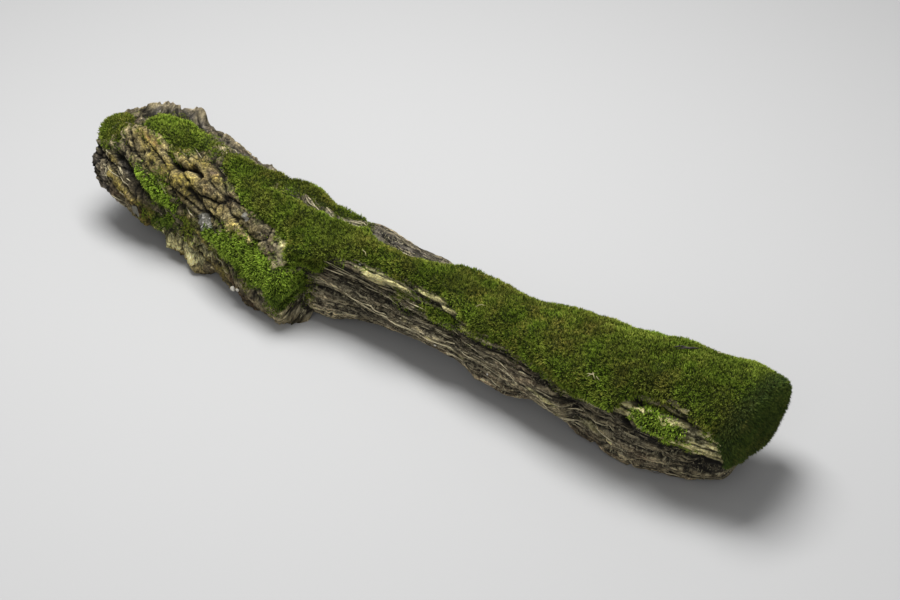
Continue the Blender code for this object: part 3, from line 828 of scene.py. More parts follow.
def place_on_stem(x, angle, rim, spread, cap):
    """Points of the skin at a reach from the pith. The top of the butt is pulled in a little."""
    across = along_stations(x, 1)
    height = along_stations(x, 2)
    reach = rim * spread
    sine = np.sin(np.radians(angle))
    butt = (BUTT_SETBACK - BUTT_LEAN * sine) * (1.0 - smoothstep(BUTT_X, BUTT_X + BUTT_LEAN_LENGTH, x))
    tip = (TIP_REACH + TIP_LEAN * sine) * smoothstep(TIP_X - TIP_LEAN_LENGTH, TIP_X, x)
    splinters = SPLINTER_HEIGHT * tube_noise(spread, angle, *END_SPLINTERS)
    rot = (BUTT_ROT_DEPTH * (1.0 - spread**2) + splinters) * cap * (x < 0)
    bulge = TIP_BULGE * np.sqrt(np.maximum(1.0 - spread**2, 0.0)) * cap * (x > 0)
    worn = BUTT_PULL * smoothstep(*WORN_SINES, sine)
    worn = worn * (1.0 - smoothstep(BUTT_X, BUTT_X + BUTT_PULL_LENGTH, x))
    along = x + (butt + tip + worn) * spread + rot + bulge
    above = np.maximum(height + reach * sine, 0.0)
    return np.stack((along, across - reach * np.cos(np.radians(angle)), above), axis=-1) + HOME


def outward(x, angle, spread, cap):
    """The way moss grows: straight out from the stem, and along X on the mossy tip."""
    radians = np.radians(angle)
    to_tip = np.where(x > 0, 1.0, -1.0)
    lean = np.where(cap > 0, 1.0 - TIP_FACE_LEAN * spread, SHOULDER_LEAN * smoothstep(*TIP_SHOULDER, x))
    lean = np.clip(lean, 0.0, 1.0) * np.pi / 2
    away = (np.sin(lean) * to_tip, -np.cos(lean) * np.cos(radians), np.cos(lean) * np.sin(radians))
    return np.stack(away, axis=-1)


def blurred(field, reach):
    """A field averaged over its neighbours, wrapped round the log."""
    size = 2 * reach + 1
    for axis, mode in ((0, "edge"), (1, "wrap")):
        pads = [(0, 0), (0, 0)]
        pads[axis] = (reach, reach)
        total = np.cumsum(np.pad(field, pads, mode=mode), axis=axis)
        total = np.insert(total, 0, 0.0, axis=axis)
        high = np.take(total, range(size, total.shape[axis]), axis=axis)
        low = np.take(total, range(0, total.shape[axis] - size), axis=axis)
        field = (high - low) / size
    return field


# Building meshes

def grid_faces(rows, columns):
    """Quads between the rows of a skin, and the triangles that close its two poles."""
    i, j = np.meshgrid(np.arange(rows - 1), np.arange(columns), indexing="ij")
    first = i * columns
    k = (j + 1) % columns
    quads = np.stack((first + j, first + columns + j, first + columns + k, first + k), axis=-1)
    ring = np.arange(columns)
    after = (ring + 1) % columns
    butt_pole = np.full(columns, rows * columns)
    last = (rows - 1) * columns
    ends = [np.stack((butt_pole, ring, after), axis=-1)]
    ends.append(np.stack((butt_pole + 1, last + after, last + ring), axis=-1))
    return quads.reshape(-1, 4), np.concatenate(ends)


def quad_corners(chosen, columns):
    """The corners of the chosen quads of a grid with so many columns of points."""
    i, j = np.nonzero(chosen)
    first = i * columns + j
    return np.stack((first, first + columns, first + columns + 1, first + 1), axis=1)


def with_poles(field):
    """A field on the skin as a flat list, with the mean of the first and last rows for the poles."""
    rows, columns = field.shape[:2]
    flat = field.reshape(rows * columns, -1)
    poles = [field[row].reshape(columns, -1).mean(0) for row in (0, -1)]
    return np.concatenate((flat, np.stack(poles))).squeeze()


def make_mesh(name, points, faces, attributes=None):
    """A smooth mesh, with a number or a vector for each point under each attribute's name."""
    mesh = bpy.data.meshes.new(name)
    mesh.from_pydata(np.asarray(points).tolist(), [], [list(map(int, face)) for face in faces])
    for attribute_name, values in (attributes or {}).items():
        values = np.asarray(values, dtype=np.float32)
        kind, slot = ("FLOAT_VECTOR", "vector") if values.ndim == 2 else ("FLOAT", "value")
        attribute = mesh.attributes.new(attribute_name, kind, "POINT")
        attribute.data.foreach_set(slot, values.ravel())
    mesh.shade_smooth()
    return mesh


def add_piece(name, mesh, finish=None):
    """An object at the origin, in the scene and in its finish."""
    piece = bpy.data.objects.new(name, mesh)
    bpy.context.scene.collection.objects.link(piece)
    if finish is not None:
        mesh.materials.clear()
        mesh.materials.append(finish)
    return piece


def settle(piece, slot, *nodes):
    """The piece rides on the log's one body and may stand for nodes. The slot is not used."""
    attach(piece, BODY)
    if nodes:
        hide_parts(*nodes)


# Shader building

class Shader:
    """A short way to place and join the nodes of one material or group."""

    def __init__(self, tree):
        self.tree = tree

    def feed(self, socket, value):
        """Joins an output to a socket, or sets the socket's own value."""
        if isinstance(value, bpy.types.NodeSocket):
            self.tree.links.new(value, socket)
        else:
            socket.default_value = value

    def add(self, kind, inputs=(), **settings):
        """A new node with its settings made and its inputs fed."""
        node = self.tree.nodes.new(kind)
        for key, value in settings.items():
            setattr(node, key, value)
        for key, value in dict(inputs).items():
            self.feed(node.inputs[key], value)
        return node

    def mask(self, name):
        return self.add("ShaderNodeAttribute", attribute_name=name).outputs["Fac"]

    def math(self, operation, a, b):
        return self.add("ShaderNodeMath", {0: a, 1: b}, operation=operation).outputs[0]

    def times(self, a, b):
        return self.math("MULTIPLY", a, b)

    def vector(self, operation, a, b):
        return self.add("ShaderNodeVectorMath", {0: a, 1: b}, operation=operation).outputs[0]

    def mix(self, share, a, b, blend="MIX"):
        inputs = {0: share, 6: a, 7: b}
        return self.add("ShaderNodeMix", inputs, data_type="RGBA", blend_type=blend).outputs[2]

    def ramp(self, value, start, end, low=0.0, high=1.0):
        """A smooth rise from low where the value is at its start to high where it is at its end."""
        inputs = {"Value": value, "From Min": start, "From Max": end, "To Min": low, "To Max": high}
        return self.add("ShaderNodeMapRange", inputs, interpolation_type="SMOOTHSTEP").outputs["Result"]

    def lit(self, colour, light):
        """A colour made lighter or darker by a value."""
        grey = self.add("ShaderNodeCombineColor", {0: light, 1: light, 2: light}).outputs[0]
        return self.mix(1.0, colour, grey, "MULTIPLY")

    def noise(self, place, rate, detail, roughness=0.5):
        inputs = {"Vector": place, "Scale": rate, "Detail": detail, "Roughness": roughness}
        return self.add("ShaderNodeTexNoise", inputs).outputs

    def stretched(self, place, stretch):
        """A place drawn out along the log by a stretch."""
        squeeze = self.math("DIVIDE", 1.0, stretch)
        scale = self.add("ShaderNodeCombineXYZ", {"X": squeeze, "Y": 1.0, "Z": 1.0}).outputs[0]
        return self.vector("MULTIPLY", place, scale)

    def place(self, group, **inputs):
        """The outputs of a group. A space in an input's name is written here as an underscore."""
        node = self.add("ShaderNodeGroup", node_tree=group)
        for key, value in inputs.items():
            self.feed(node.inputs[key.replace("_", " ")], value)
        return node.outputs


def new_group(name, inputs, outputs):
    """An empty shader group with its sockets: its nodes, what it is given and what it puts out."""
    tree = bpy.data.node_groups.new(name, "ShaderNodeTree")
    for socket_name, kind, default in inputs:
        tree.interface.new_socket(socket_name, in_out="INPUT", socket_type=kind).default_value = default
    for socket_name, kind in outputs:
        tree.interface.new_socket(socket_name, in_out="OUTPUT", socket_type=kind)
    given = tree.nodes.new("NodeGroupInput").outputs
    return Shader(tree), given, tree.nodes.new("NodeGroupOutput").inputs


def mottle_group():
    """Two colours mixed in soft patches, which may be stretched along the log."""
    name = "Mottle"
    if name in bpy.data.node_groups:
        return bpy.data.node_groups[name]
    white = (1.0, 1.0, 1.0, 1.0)
    shader, given, out = new_group(name, (
        ("Colour", "NodeSocketColor", white),
        ("Other Colour", "NodeSocketColor", white),
        ("Rate", "NodeSocketFloat", 40.0),
        ("Stretch", "NodeSocketFloat", 1.0),
        ("Start", "NodeSocketFloat", 0.40),
        ("End", "NodeSocketFloat", 0.62),
    ), (("Colour", "NodeSocketColor"), ("Share", "NodeSocketFloat")))
    place = shader.stretched(shader.add("ShaderNodeTexCoord").outputs["Object"], given["Stretch"])
    cloud = shader.noise(place, given["Rate"], 5.0, 0.62)
    share = shader.ramp(cloud["Fac"], given["Start"], given["End"])
    shader.feed(out["Colour"], shader.mix(share, given["Colour"], given["Other Colour"]))
    shader.feed(out["Share"], share)
    return shader.tree


def grit_group():
    """Small bumps of crust and fibre, as a normal."""
    name = "Grit"
    if name in bpy.data.node_groups:
        return bpy.data.node_groups[name]
    shader, given, out = new_group(name, (
        ("Rate", "NodeSocketFloat", 500.0),
        ("Fibre", "NodeSocketFloat", 0.5),
        ("Depth", "NodeSocketFloat", 0.002),
    ), (("Normal", "NodeSocketVector"),))
    place = shader.add("ShaderNodeTexCoord").outputs["Object"]
    crumbs = shader.noise(place, given["Rate"], 4.0, 0.7)["Fac"]
    drawn_out = shader.vector("MULTIPLY", place, (0.07, 1.0, 1.0))
    fibres = shader.noise(drawn_out, given["Rate"], 3.0, 0.6)["Fac"]
    rest = shader.math("SUBTRACT", 1.0, given["Fibre"])
    height = shader.math("ADD", shader.times(fibres, given["Fibre"]), shader.times(crumbs, rest))
    bump = shader.add("ShaderNodeBump", {"Height": height, "Distance": given["Depth"], "Strength": 0.9})
    shader.feed(out["Normal"], bump.outputs["Normal"])
    return shader.tree


def new_material(name, roughness, specular=0.25):
    """A material with its roughness and shine set, its nodes and its Principled BSDF's inputs."""
    finish = bpy.data.materials.new(name)
    finish.use_nodes = True
    surface = finish.node_tree.nodes["Principled BSDF"].inputs
    surface["Roughness"].default_value = roughness
    surface["Specular IOR Level"].default_value = specular
    return finish, Shader(finish.node_tree), surface


def grain_group():
    """Fibres, threads, crumbs and fine cracks that follow the grain of the bark."""
    name = "Bark Grain"
    if name in bpy.data.node_groups:
        return bpy.data.node_groups[name]
    shader, given, out = new_group(name, (
        ("Stretch", "NodeSocketFloat", 13.0),
        ("Fibre Rate", "NodeSocketFloat", 90.0),
        ("Thread Rate", "NodeSocketFloat", 230.0),
        ("Crumb Rate", "NodeSocketFloat", 240.0),
        ("Crack Rate", "NodeSocketFloat", 42.0),
    ), [(output, "NodeSocketFloat") for output in ("Fibre", "Thread", "Crumb", "Crack")])
    grain = shader.add("ShaderNodeAttribute", attribute_name="grain").outputs["Vector"]
    bend = shader.noise(grain, 45.0, 3.0)["Color"]
    small_bend = shader.vector("MULTIPLY", bend, (0.014, 0.014, 0.014))
    bent = shader.vector("ADD", shader.stretched(grain, given["Stretch"]), small_bend)
    half = shader.vector("ADD", shader.vector("MULTIPLY", grain, (0.5, 1.0, 1.0)), small_bend)
    for output, place, detail, roughness in (
        ("Fibre", bent, 5.0, 0.65),
        ("Thread", bent, 3.0, 0.60),
        ("Crumb", grain, 5.0, 0.78),
    ):
        shader.feed(out[output], shader.noise(place, given[f"{output} Rate"], detail, roughness)["Fac"])
    inputs = {"Vector": half, "Scale": given["Crack Rate"], "Randomness": 1.0}
    cells = shader.add("ShaderNodeTexVoronoi", inputs, feature="DISTANCE_TO_EDGE")
    shader.feed(out["Crack"], shader.ramp(cells.outputs["Distance"], 0.0, 0.07, 1.0, 0.0))
    return shader.tree


def bark_wood(shader, colours, grain, crumb, streak, crusty):
    """The colours of the wood and of what grows on it, before the tones, the painted highlights and shade,
    and the darker cracks.
    """
    mottle = mottle_group()

    def tones(share, wood):
        return shader.mix(share, getattr(colours, f"{wood}_dark"), getattr(colours, f"{wood}_light"))

    side_brown = shader.place(mottle, Rate=13.0, Stretch=2.5, Start=0.48, End=0.62)["Share"]
    brown_streak = shader.mix(streak, colours.side_dark, colours.brown_light)
    side = shader.mix(shader.times(side_brown, 0.6), tones(streak, "side"), brown_streak)
    pale_thread = shader.times(shader.ramp(grain["Thread"], 0.56, 0.68), shader.mask("pale"))
    side = shader.mix(pale_thread, side, colours.thread)
    patches = shader.place(mottle, Colour=colours.butt_light, Other_Colour=colours.butt_dark, Rate=28.0,
                           Start=0.38, End=0.64)["Colour"]
    butt = shader.mix(0.35, tones(crusty, "butt"), patches)
    butt_brown = shader.place(mottle, Rate=19.0, Start=0.50, End=0.64)["Share"]
    butt = shader.mix(shader.times(butt_brown, 0.75), butt, tones(crusty, "brown"))
    colour = shader.mix(shader.mask("plated"), side, butt)
    ochre_share = shader.times(shader.mask("ochre"), shader.ramp(crumb, 0.0, 1.0, 0.65, 1.0))
    colour = shader.mix(ochre_share, colour, tones(crusty, "ochre"))
    colour = shader.mix(shader.mask("grey"), colour, tones(streak, "grey"))
    colour = shader.mix(shader.ramp(shader.mask("cream"), 0.15, 0.55), colour, tones(crumb, "cream"))
    rust = shader.mix(streak, colours.side_dark, colours.rust)
    colour = shader.mix(shader.mask("rust"), colour, rust)
    green = shader.place(mottle, Rate=48.0, Start=0.44, End=0.60)["Share"]
    film = shader.mix(crumb, colours.dirt, colours.algae)
    return shader.mix(shader.times(green, shader.mask("algae")), colour, film)


def bark_light(shader, colour, grain):
    """Lighter and darker fibres, patches and plates, and a painted highlight on the ridges."""
    mottle = mottle_group()
    thread_light = shader.ramp(grain["Thread"], 0.36, 0.64, 0.58, 1.38)
    crumb_light = shader.ramp(grain["Crumb"], 0.34, 0.68, 0.50, 1.45)
    lit_side = shader.lit(colour, thread_light)
    colour = shader.mix(shader.mask("plated"), lit_side, shader.lit(colour, crumb_light))
    broad = shader.place(mottle, Rate=11.0, Stretch=2.0, Start=0.34, End=0.66)["Share"]
    middling = shader.place(mottle, Rate=40.0, Stretch=2.2, Start=0.38, End=0.62)["Share"]
    for value, start, end, dark, light in (
        (broad, 0.0, 1.0, 0.62, 1.22),
        (middling, 0.0, 1.0, 0.70, 1.28),
        (shader.mask("plate"), 0.0, 1.0, 0.74, 1.22),
        (shader.mask("cream"), 0.15, 0.70, 1.0, 1.40),
    ):
        colour = shader.lit(colour, shader.ramp(value, start, end, dark, light))
    # Painted highlight: where the skin stands above what is round it, the colour is made lighter
    ridge_highlight = shader.ramp(shader.mask("cavity"), -0.05, -0.7, 0.0, 0.65)
    return shader.mix(ridge_highlight, colour, shader.mix(1.0, colour, (1.8, 1.72, 1.55, 1.0), "MULTIPLY"))


def bark_shade_and_specks(shader, colours, colour, grain, crumb, split):
    """Darker in the cracks, painted shade in the hollows and in the shaded places, then pale crust and
    specks.
    """
    # Painted shade: the hollows of the relief are darkened, less on the pale wood
    hollow_shade = shader.ramp(shader.mask("cavity"), 0.20, 1.0, 0.0, 0.82)
    hollow_shade = shader.times(hollow_shade, shader.ramp(shader.mask("cream"), 0.3, 0.8, 1.0, 0.45))
    # The cracks are darkened, then the hollows and the shaded places take painted shade
    for share in (
        shader.times(split, 0.85),
        shader.ramp(shader.mask("split"), 0.1, 0.8, 0.0, 0.85),
        hollow_shade,
        shader.mask("shade"),
    ):
        colour = shader.mix(share, colour, colours.dirt)
    lumpy = shader.ramp(crumb, 0.0, 0.5, 0.35, 1.0)
    crusted = shader.times(shader.ramp(shader.mask("crusted"), 0.25, 0.6), lumpy)
    colour = shader.mix(crusted, colour, colours.lichen)
    off_butt = shader.ramp(shader.mask("plated"), 0.0, 1.0, 0.6, 0.0)
    in_light = shader.ramp(shader.mask("shade"), 0.0, 0.8, 1.0, 0.0)
    fleck = shader.times(shader.ramp(grain["Crumb"], 0.54, 0.62), shader.times(off_butt, in_light))
    colour = shader.mix(fleck, colour, colours.thread)
    speck = shader.times(shader.ramp(grain["Crumb"], 0.68, 0.74), 0.55)
    return shader.mix(speck, colour, colours.lichen)


def bark_finish(colours):
    """Old bark: dark fibres, ochre crust, cream and grey weathered wood, darker cracks, painted shade and
    highlights.
    """
    finish, shader, surface = new_material("bark_skin", 0.88, 0.22)
    grain = shader.place(grain_group())
    fibre = shader.ramp(grain["Fibre"], 0.36, 0.62)
    thread = shader.ramp(grain["Thread"], 0.40, 0.62)
    crumb = shader.ramp(grain["Crumb"], 0.36, 0.64)
    streak = shader.times(shader.math("ADD", fibre, thread), 0.5)
    crusty = shader.times(shader.math("ADD", crumb, fibre), 0.5)
    split = shader.times(grain["Crack"], shader.mask("crackle"))
    colour = bark_wood(shader, colours, grain, crumb, streak, crusty)
    colour = bark_light(shader, colour, grain)
    shader.feed(surface["Base Color"], bark_shade_and_specks(shader, colours, colour, grain, crumb, split))
    height = shader.math("ADD", shader.times(streak, 0.6), shader.times(crumb, 0.9))
    height = shader.math("SUBTRACT", height, shader.times(split, 1.4))
    bump = shader.add("ShaderNodeBump", {"Height": height, "Distance": 0.0045, "Strength": 1.0})
    shader.feed(surface["Normal"], bump.outputs["Normal"])
    return finish


def moss_finish(name, colours, fresh):
    """Moss shoots: dark at the foot and bright at the tip, in patches of green, olive and straw, with
    painted shade on the hanging shoots.
    """
    finish, shader, surface = new_material(name, 0.85, 0.08)
    mottle = mottle_group()

    def patches(light, dark, rate, start, end):
        inputs = {"Colour": light, "Other_Colour": dark, "Rate": rate, "Start": start, "End": end}
        return shader.place(mottle, **inputs)["Colour"]

    greener = shader.place(mottle, Rate=6.5, Start=0.46, End=0.62)["Share"]
    greener = shader.math("MAXIMUM", shader.times(greener, 0.6), shader.mask("fresh"))
    greener = shader.math("MAXIMUM", greener, min(fresh, 1.0))
    leaf = shader.mix(greener, patches(colours.leaf, colours.olive, 15.0, 0.40, 0.60), colours.fresh)
    leaf = patches(leaf, colours.shadow, 50.0, 0.58, 0.84)
    tip = shader.mix(greener, patches(colours.tip, colours.straw, 26.0, 0.44, 0.62), colours.fresh_tip)
    tint = shader.mask("tint")
    height = shader.mask("tip")
    colour = shader.mix(shader.ramp(height, 0.0, 0.6), colours.deep, leaf)
    tip_share = shader.times(shader.ramp(height, 0.35, 1.0), shader.ramp(tint, 0.30, 0.90, 0.10, 1.0))
    colour = shader.mix(tip_share, colour, tip)
    dark = (*(0.55 * part for part in colours.shadow[:3]), 1.0)
    colour = shader.mix(shader.ramp(tint, 0.0, 0.40, 0.80, 0.0), colour, dark)
    broad = shader.place(mottle, Rate=9.0, Start=0.34, End=0.66)["Share"]
    middling = shader.place(mottle, Rate=34.0, Start=0.36, End=0.64)["Share"]
    broad_light = shader.ramp(broad, 0.0, 1.0, 0.80, 1.18)
    light = shader.times(broad_light, shader.ramp(middling, 0.0, 1.0, 0.84, 1.14))
    # Painted shade: drooping shoots of the end face and the tip's shoulder are darkened and mixed towards
    # the shaded colour
    light = shader.times(light, shader.ramp(shader.mask("droop"), 0.77, 0.90, 1.0, 0.50))
    colour = shader.lit(colour, shader.times(light, 1.0 + 0.4 * fresh))
    hanging_shade = shader.ramp(shader.mask("droop"), 0.77, 0.90, 0.0, 0.50)
    shader.feed(surface["Base Color"], shader.mix(hanging_shade, colour, colours.shaded))
    return finish


def plain_finish(name, light, dark, rate, start=0.38, end=0.62, roughness=0.85, specular=0.25,
                 grit=600.0, fibre=0.3, depth=0.001):
    """A natural finish of two tones in patches, over a fine grit."""
    finish, shader, surface = new_material(name, roughness, specular)
    patches = shader.place(mottle_group(), Colour=light, Other_Colour=dark, Rate=rate, Start=start, End=end)
    bumps = shader.place(grit_group(), Rate=grit, Fibre=fibre, Depth=depth)
    shader.feed(surface["Base Color"], patches["Colour"])
    shader.feed(surface["Normal"], bumps["Normal"])
    return finish


def felt_finish(colours):
    """The brown-green felt that the shoots grow from."""
    return plain_finish("moss_felt", colours.deep, colours.felt, 120.0, start=0.35, end=0.65,
                        roughness=0.95, specular=0.1, grit=500.0, fibre=0.0, depth=0.003)


# Scattering with Geometry Nodes

SCATTER_INPUTS = (
    ("Ground", "NodeSocketGeometry", None),
    ("Kinds", "NodeSocketCollection", None),
    ("Spacing", "NodeSocketFloat", 0.002),
    ("Most per square metre", "NodeSocketFloat", 400000.0),
    ("Size", "NodeSocketFloat", 0.006),
    ("Size Spread", "NodeSocketFloat", 0.35),
    ("Upright", "NodeSocketFloat", 0.2),
    ("Tilt", "NodeSocketFloat", 0.35),
    ("Seed", "NodeSocketInt", 0),
    ("Finish", "NodeSocketMaterial", None),
)


def scatter_tree():
    """Kinds set out over a ground mesh. lush thins them, droop makes them hang, long draws them out."""
    name = "Scatter"
    if name in bpy.data.node_groups:
        return bpy.data.node_groups[name]
    tree = bpy.data.node_groups.new(name, "GeometryNodeTree")
    for socket_name, kind, default in SCATTER_INPUTS:
        socket = tree.interface.new_socket(socket_name, in_out="INPUT", socket_type=kind)
        if default is not None:
            socket.default_value = default
    tree.interface.new_socket("Pieces", in_out="OUTPUT", socket_type="NodeSocketGeometry")
    build = Shader(tree)
    given = tree.nodes.new("NodeGroupInput").outputs
    out = tree.nodes.new("NodeGroupOutput").inputs

    def field(field_name):
        node = build.add("GeometryNodeInputNamedAttribute", {"Name": field_name}, data_type="FLOAT")
        return node.outputs["Attribute"]

    def random_value(kind, low, high, offset):
        first, result = (0, 0) if kind == "FLOAT_VECTOR" else (2, 1)
        inputs = {first: low, first + 1: high, "Seed": build.math("ADD", given["Seed"], offset)}
        return build.add("FunctionNodeRandomValue", inputs, data_type=kind).outputs[result]

    def scaled(vector, factor):
        return build.add("ShaderNodeVectorMath", {0: vector, "Scale": factor}, operation="SCALE").outputs[0]

    lush = field("lush")
    spots = build.add("GeometryNodeDistributePointsOnFaces", {
        "Mesh": given["Ground"], "Distance Min": given["Spacing"], "Density Factor": lush,
        "Density Max": given["Most per square metre"], "Seed": given["Seed"]},
        distribute_method="POISSON").outputs
    lift = scaled((0.0, 0.0, 1.0), build.math("SUBTRACT", given["Upright"], field("droop")))
    wild = scaled(random_value("FLOAT_VECTOR", (-1.0, -1.0, -1.0), (1.0, 1.0, 1.0), 11), given["Tilt"])
    heading = build.vector("ADD", build.vector("ADD", spots["Normal"], lift), wild)
    aligned = build.add("FunctionNodeAlignRotationToVector", {"Vector": heading}, axis="Z").outputs[0]
    spin_angle = random_value("FLOAT", 0.0, 2.0 * math.pi, 23)
    spin_vector = build.add("ShaderNodeCombineXYZ", {"X": 0.0, "Y": 0.0, "Z": spin_angle}).outputs[0]
    spin = build.add("FunctionNodeEulerToRotation", {0: spin_vector}).outputs[0]
    turned = build.add("FunctionNodeRotateRotation", {"Rotation": aligned, "Rotate By": spin},
                       rotation_space="LOCAL").outputs[0]
    unit = random_value("FLOAT", -1.0, 1.0, 37)
    spread = build.math("ADD", build.times(unit, given["Size Spread"]), 1.0)
    grown = build.math("ADD", build.times(lush, 0.55), 0.45)
    size = build.times(build.times(build.times(spread, grown), given["Size"]), field("long"))
    kinds = build.add("GeometryNodeCollectionInfo", {
        "Collection": given["Kinds"], "Separate Children": True, "Reset Children": True}).outputs[0]
    planted = build.add("GeometryNodeInstanceOnPoints", {
        "Points": spots["Points"], "Instance": kinds, "Pick Instance": True, "Rotation": turned,
        "Scale": size}).outputs[0]
    tinted = build.add("GeometryNodeStoreNamedAttribute", {
        "Geometry": planted, "Name": "tint", "Value": random_value("FLOAT", 0.0, 1.0, 51)},
        data_type="FLOAT", domain="INSTANCE").outputs[0]
    real = build.add("GeometryNodeRealizeInstances", {"Geometry": tinted}).outputs[0]
    finished = build.add("GeometryNodeSetMaterial", {"Geometry": real, "Material": given["Finish"]})
    build.feed(out[0], finished.outputs[0])
    return tree


def scatter(name, ground, kinds, finish, **values):
    """Scatters moss shoots over a ground mesh, and keeps the result as one plain piece."""
    piece = add_piece(name, ground)
    tree = scatter_tree()
    modifier = piece.modifiers.new("Scatter", "NODES")
    modifier.node_group = tree
    given = dict(values, Kinds=kinds, Finish=finish)
    for socket in tree.interface.items_tree:
        if socket.in_out == "INPUT" and socket.name in given:
            modifier[socket.identifier] = given[socket.name]
    evaluated = piece.evaluated_get(bpy.context.evaluated_depsgraph_get())
    mesh = bpy.data.meshes.new_from_object(evaluated)
    piece.modifiers.clear()
    piece.data = mesh
    mesh.name = name
    bpy.data.meshes.remove(ground)
    if not mesh.polygons:
        raise RuntimeError(f"nothing grew on {name}")
    settle(piece, "moss")


def kind_collection(name, meshes):
    """A collection that is not in the scene, with one object for each kind to scatter."""
    collection = bpy.data.collections.new(name)
    for mesh in meshes:
        collection.objects.link(bpy.data.objects.new(mesh.name, mesh))
    return collection


def forget_kinds(collection):
    """Takes away the kinds once they are scattered."""
    for kind in list(collection.objects):
        bpy.data.objects.remove(kind)
    bpy.data.collections.remove(collection)


def shoot_kind(name, blades, spread, width, seed):
    """A moss shoot one unit tall: curved tapering blades round one foot."""
    draw = np.random.default_rng(seed)
    points, faces, heights = [], [], []
    for blade in range(blades):
        heading = 2.0 * math.pi * (blade + draw.uniform(-0.3, 0.3)) / blades
        lean = spread * draw.uniform(0.5, 1.25)
        reach = draw.uniform(0.72, 1.0)
        out = np.array((math.cos(heading), math.sin(heading), 0.0))
        side = np.array((-math.sin(heading), math.cos(heading), 0.0))
        first = len(points)
        for share, half in BLADE_ROWS:
            height = reach * share * (1.0 + BLADE_BOW - BLADE_BOW * share)
            middle = out * lean * share**BLADE_CURVE + np.array((0.0, 0.0, height))
            for offset in (-half, half) if half else (0.0,):
                points.append(middle + side * offset * width)
                heights.append(share)
        faces.append((first, first + 1, first + 3, first + 2))
        faces.append((first + 2, first + 3, first + 4))
    return make_mesh(name, points, faces, {"tip": heights})


# Bark

def warped(x, angle):
    """The grain, bent a little, so that no plate or groove runs dead straight."""
    along = x + BEND_LENGTH * tube_noise(x, angle, *BEND_ALONG)
    return along, grain_angle(x, angle) + BEND_DEGREES * tube_noise(x, angle, *BEND_ROUND)


def crack(inside, width):
    """1 in the crack between two plates, falling to 0 past its width."""
    return 1.0 - smoothstep(0.0, width, inside)


def terraces(value, steps):
    """A field cut into steps with sharp risers, like layers of old wood."""
    scaled = value * steps
    floor = np.floor(scaled)
    return (floor + smoothstep(RISER_START, 1.0, scaled - floor)) / steps


def fine_relief(x, angle, cover):
    """The relief of plates, cracks, fibres and crust, each plate's value, where it is plated, and splits."""
    along, grain = warped(x, angle)
    bare = 1.0 - BARK_UNDER_MOSS * cover
    butt = 1.0 - smoothstep(*BUTT_BARK_END, x)
    lower_tip = smoothstep(*TIP_BARK_START, x) * smoothstep(*LOWER_SINES, np.sin(np.radians(angle)))

    big, plate = plates(along, grain, *BIG_PLATES)
    small, small_plate = plates(along, grain, *SMALL_PLATES)
    layers = LAYER_HEIGHT * terraces(tube_noise(along, grain, *LAYERS), LAYER_COUNT)
    crust = CRUST_HEIGHT * rough_noise(x, angle, *CRUST)
    crust = crust + FINE_CRUST_HEIGHT * rough_noise(x, angle, *FINE_CRUST)
    on_butt = layers + crust - BIG_CRACK_DEPTH * crack(big, BIG_CRACK_WIDTH)
    on_butt = on_butt - SMALL_CRACK_DEPTH * crack(small, SMALL_CRACK_WIDTH)
    on_butt = on_butt + BIG_PLATE_LIFT * (plate - 0.5) + SMALL_PLATE_LIFT * (small_plate - 0.5)

    rut = tube_noise(along, grain, *RUTS)
    ruts = RUT_DEPTH * valley(rut, RUT_WIDTH)
    ruts = ruts + FIBRE_DEPTH * valley(tube_noise(along, grain, *FIBRES), FIBRE_WIDTH)
    steps = STEP_HEIGHT * terraces(tube_noise(along, grain, *STEPS), STEP_COUNT)
    on_stem = steps + THREAD_HEIGHT * rough_noise(along, grain, *THREADS) - ruts

    slabs, slab = plates(along, grain, *TIP_SLABS)
    on_tip = TIP_STEM_SHARE * on_stem + TIP_CRUST_HEIGHT * rough_noise(x, angle, *TIP_CRUST)
    on_tip = on_tip - SLAB_CRACK_DEPTH * crack(slabs, SLAB_CRACK_WIDTH) + SLAB_LIFT * (slab - 0.5)

    relief = on_butt * butt + (1.0 - butt) * (on_stem * (1.0 - lower_tip) + on_tip * lower_tip)
    value = plate * butt + (1.0 - butt) * (0.5 * (1.0 - lower_tip) + slab * lower_tip)
    peaks = np.maximum(rough_noise(x, angle, *PEAKS), 0.0)
    relief = relief * bare + JAG_HEIGHT * near_line(x, angle, JAGGED_EDGE) * peaks
    plate_splits = np.maximum(crack(big, SPLIT_WIDTH), crack(small, SPLIT_WIDTH))
    stem_splits = np.maximum(valley(rut, RUT_SPLIT_WIDTH), lower_tip * crack(slabs, SPLIT_WIDTH))
    split = butt * (SPLIT_STRENGTH * plate_splits) + (1.0 - butt) * stem_splits
    return relief, value, butt, split * bare


def spread_out(along, angle, spread):
    """A grid of places: along, angle, spread, and 1 on an end face."""
    shape = (len(along), len(angle))
    values = (along[:, None], angle[None, :], spread[:, None], (spread < 1.0).astype(float)[:, None])
    return tuple(np.ascontiguousarray(np.broadcast_to(value, shape)) for value in values)


def bark_grid():
    """A fine grid, closest on the bare butt and on the near side."""
    butt = np.linspace(BUTT_X, BUTT_GRID_END, BUTT_GRID_ROWS, endpoint=False)
    side = np.concatenate((butt, np.linspace(BUTT_GRID_END, TIP_X, STEM_GRID_ROWS)))
    inner = np.linspace(0.0, 1.0, END_GRID_RINGS)[1:-1]
    spread = np.concatenate((inner, np.ones(len(side)), inner[::-1]))
    along = np.concatenate((np.full(len(inner), BUTT_X), side, np.full(len(inner), TIP_X)))
    even = np.arange(BARK_GRID_COLUMNS) * 2.0 * np.pi / BARK_GRID_COLUMNS
    angle = np.degrees(even - NEAR_SIDE_CROWDING * np.sin(even)) + NEAR_SIDE_ANGLE
    return spread_out(along, angle, spread)


def deepest(inside):
    """How far inside its edge the moss is at each point, whichever node it belongs to."""
    return np.max(np.stack(list(inside.values())), axis=0)


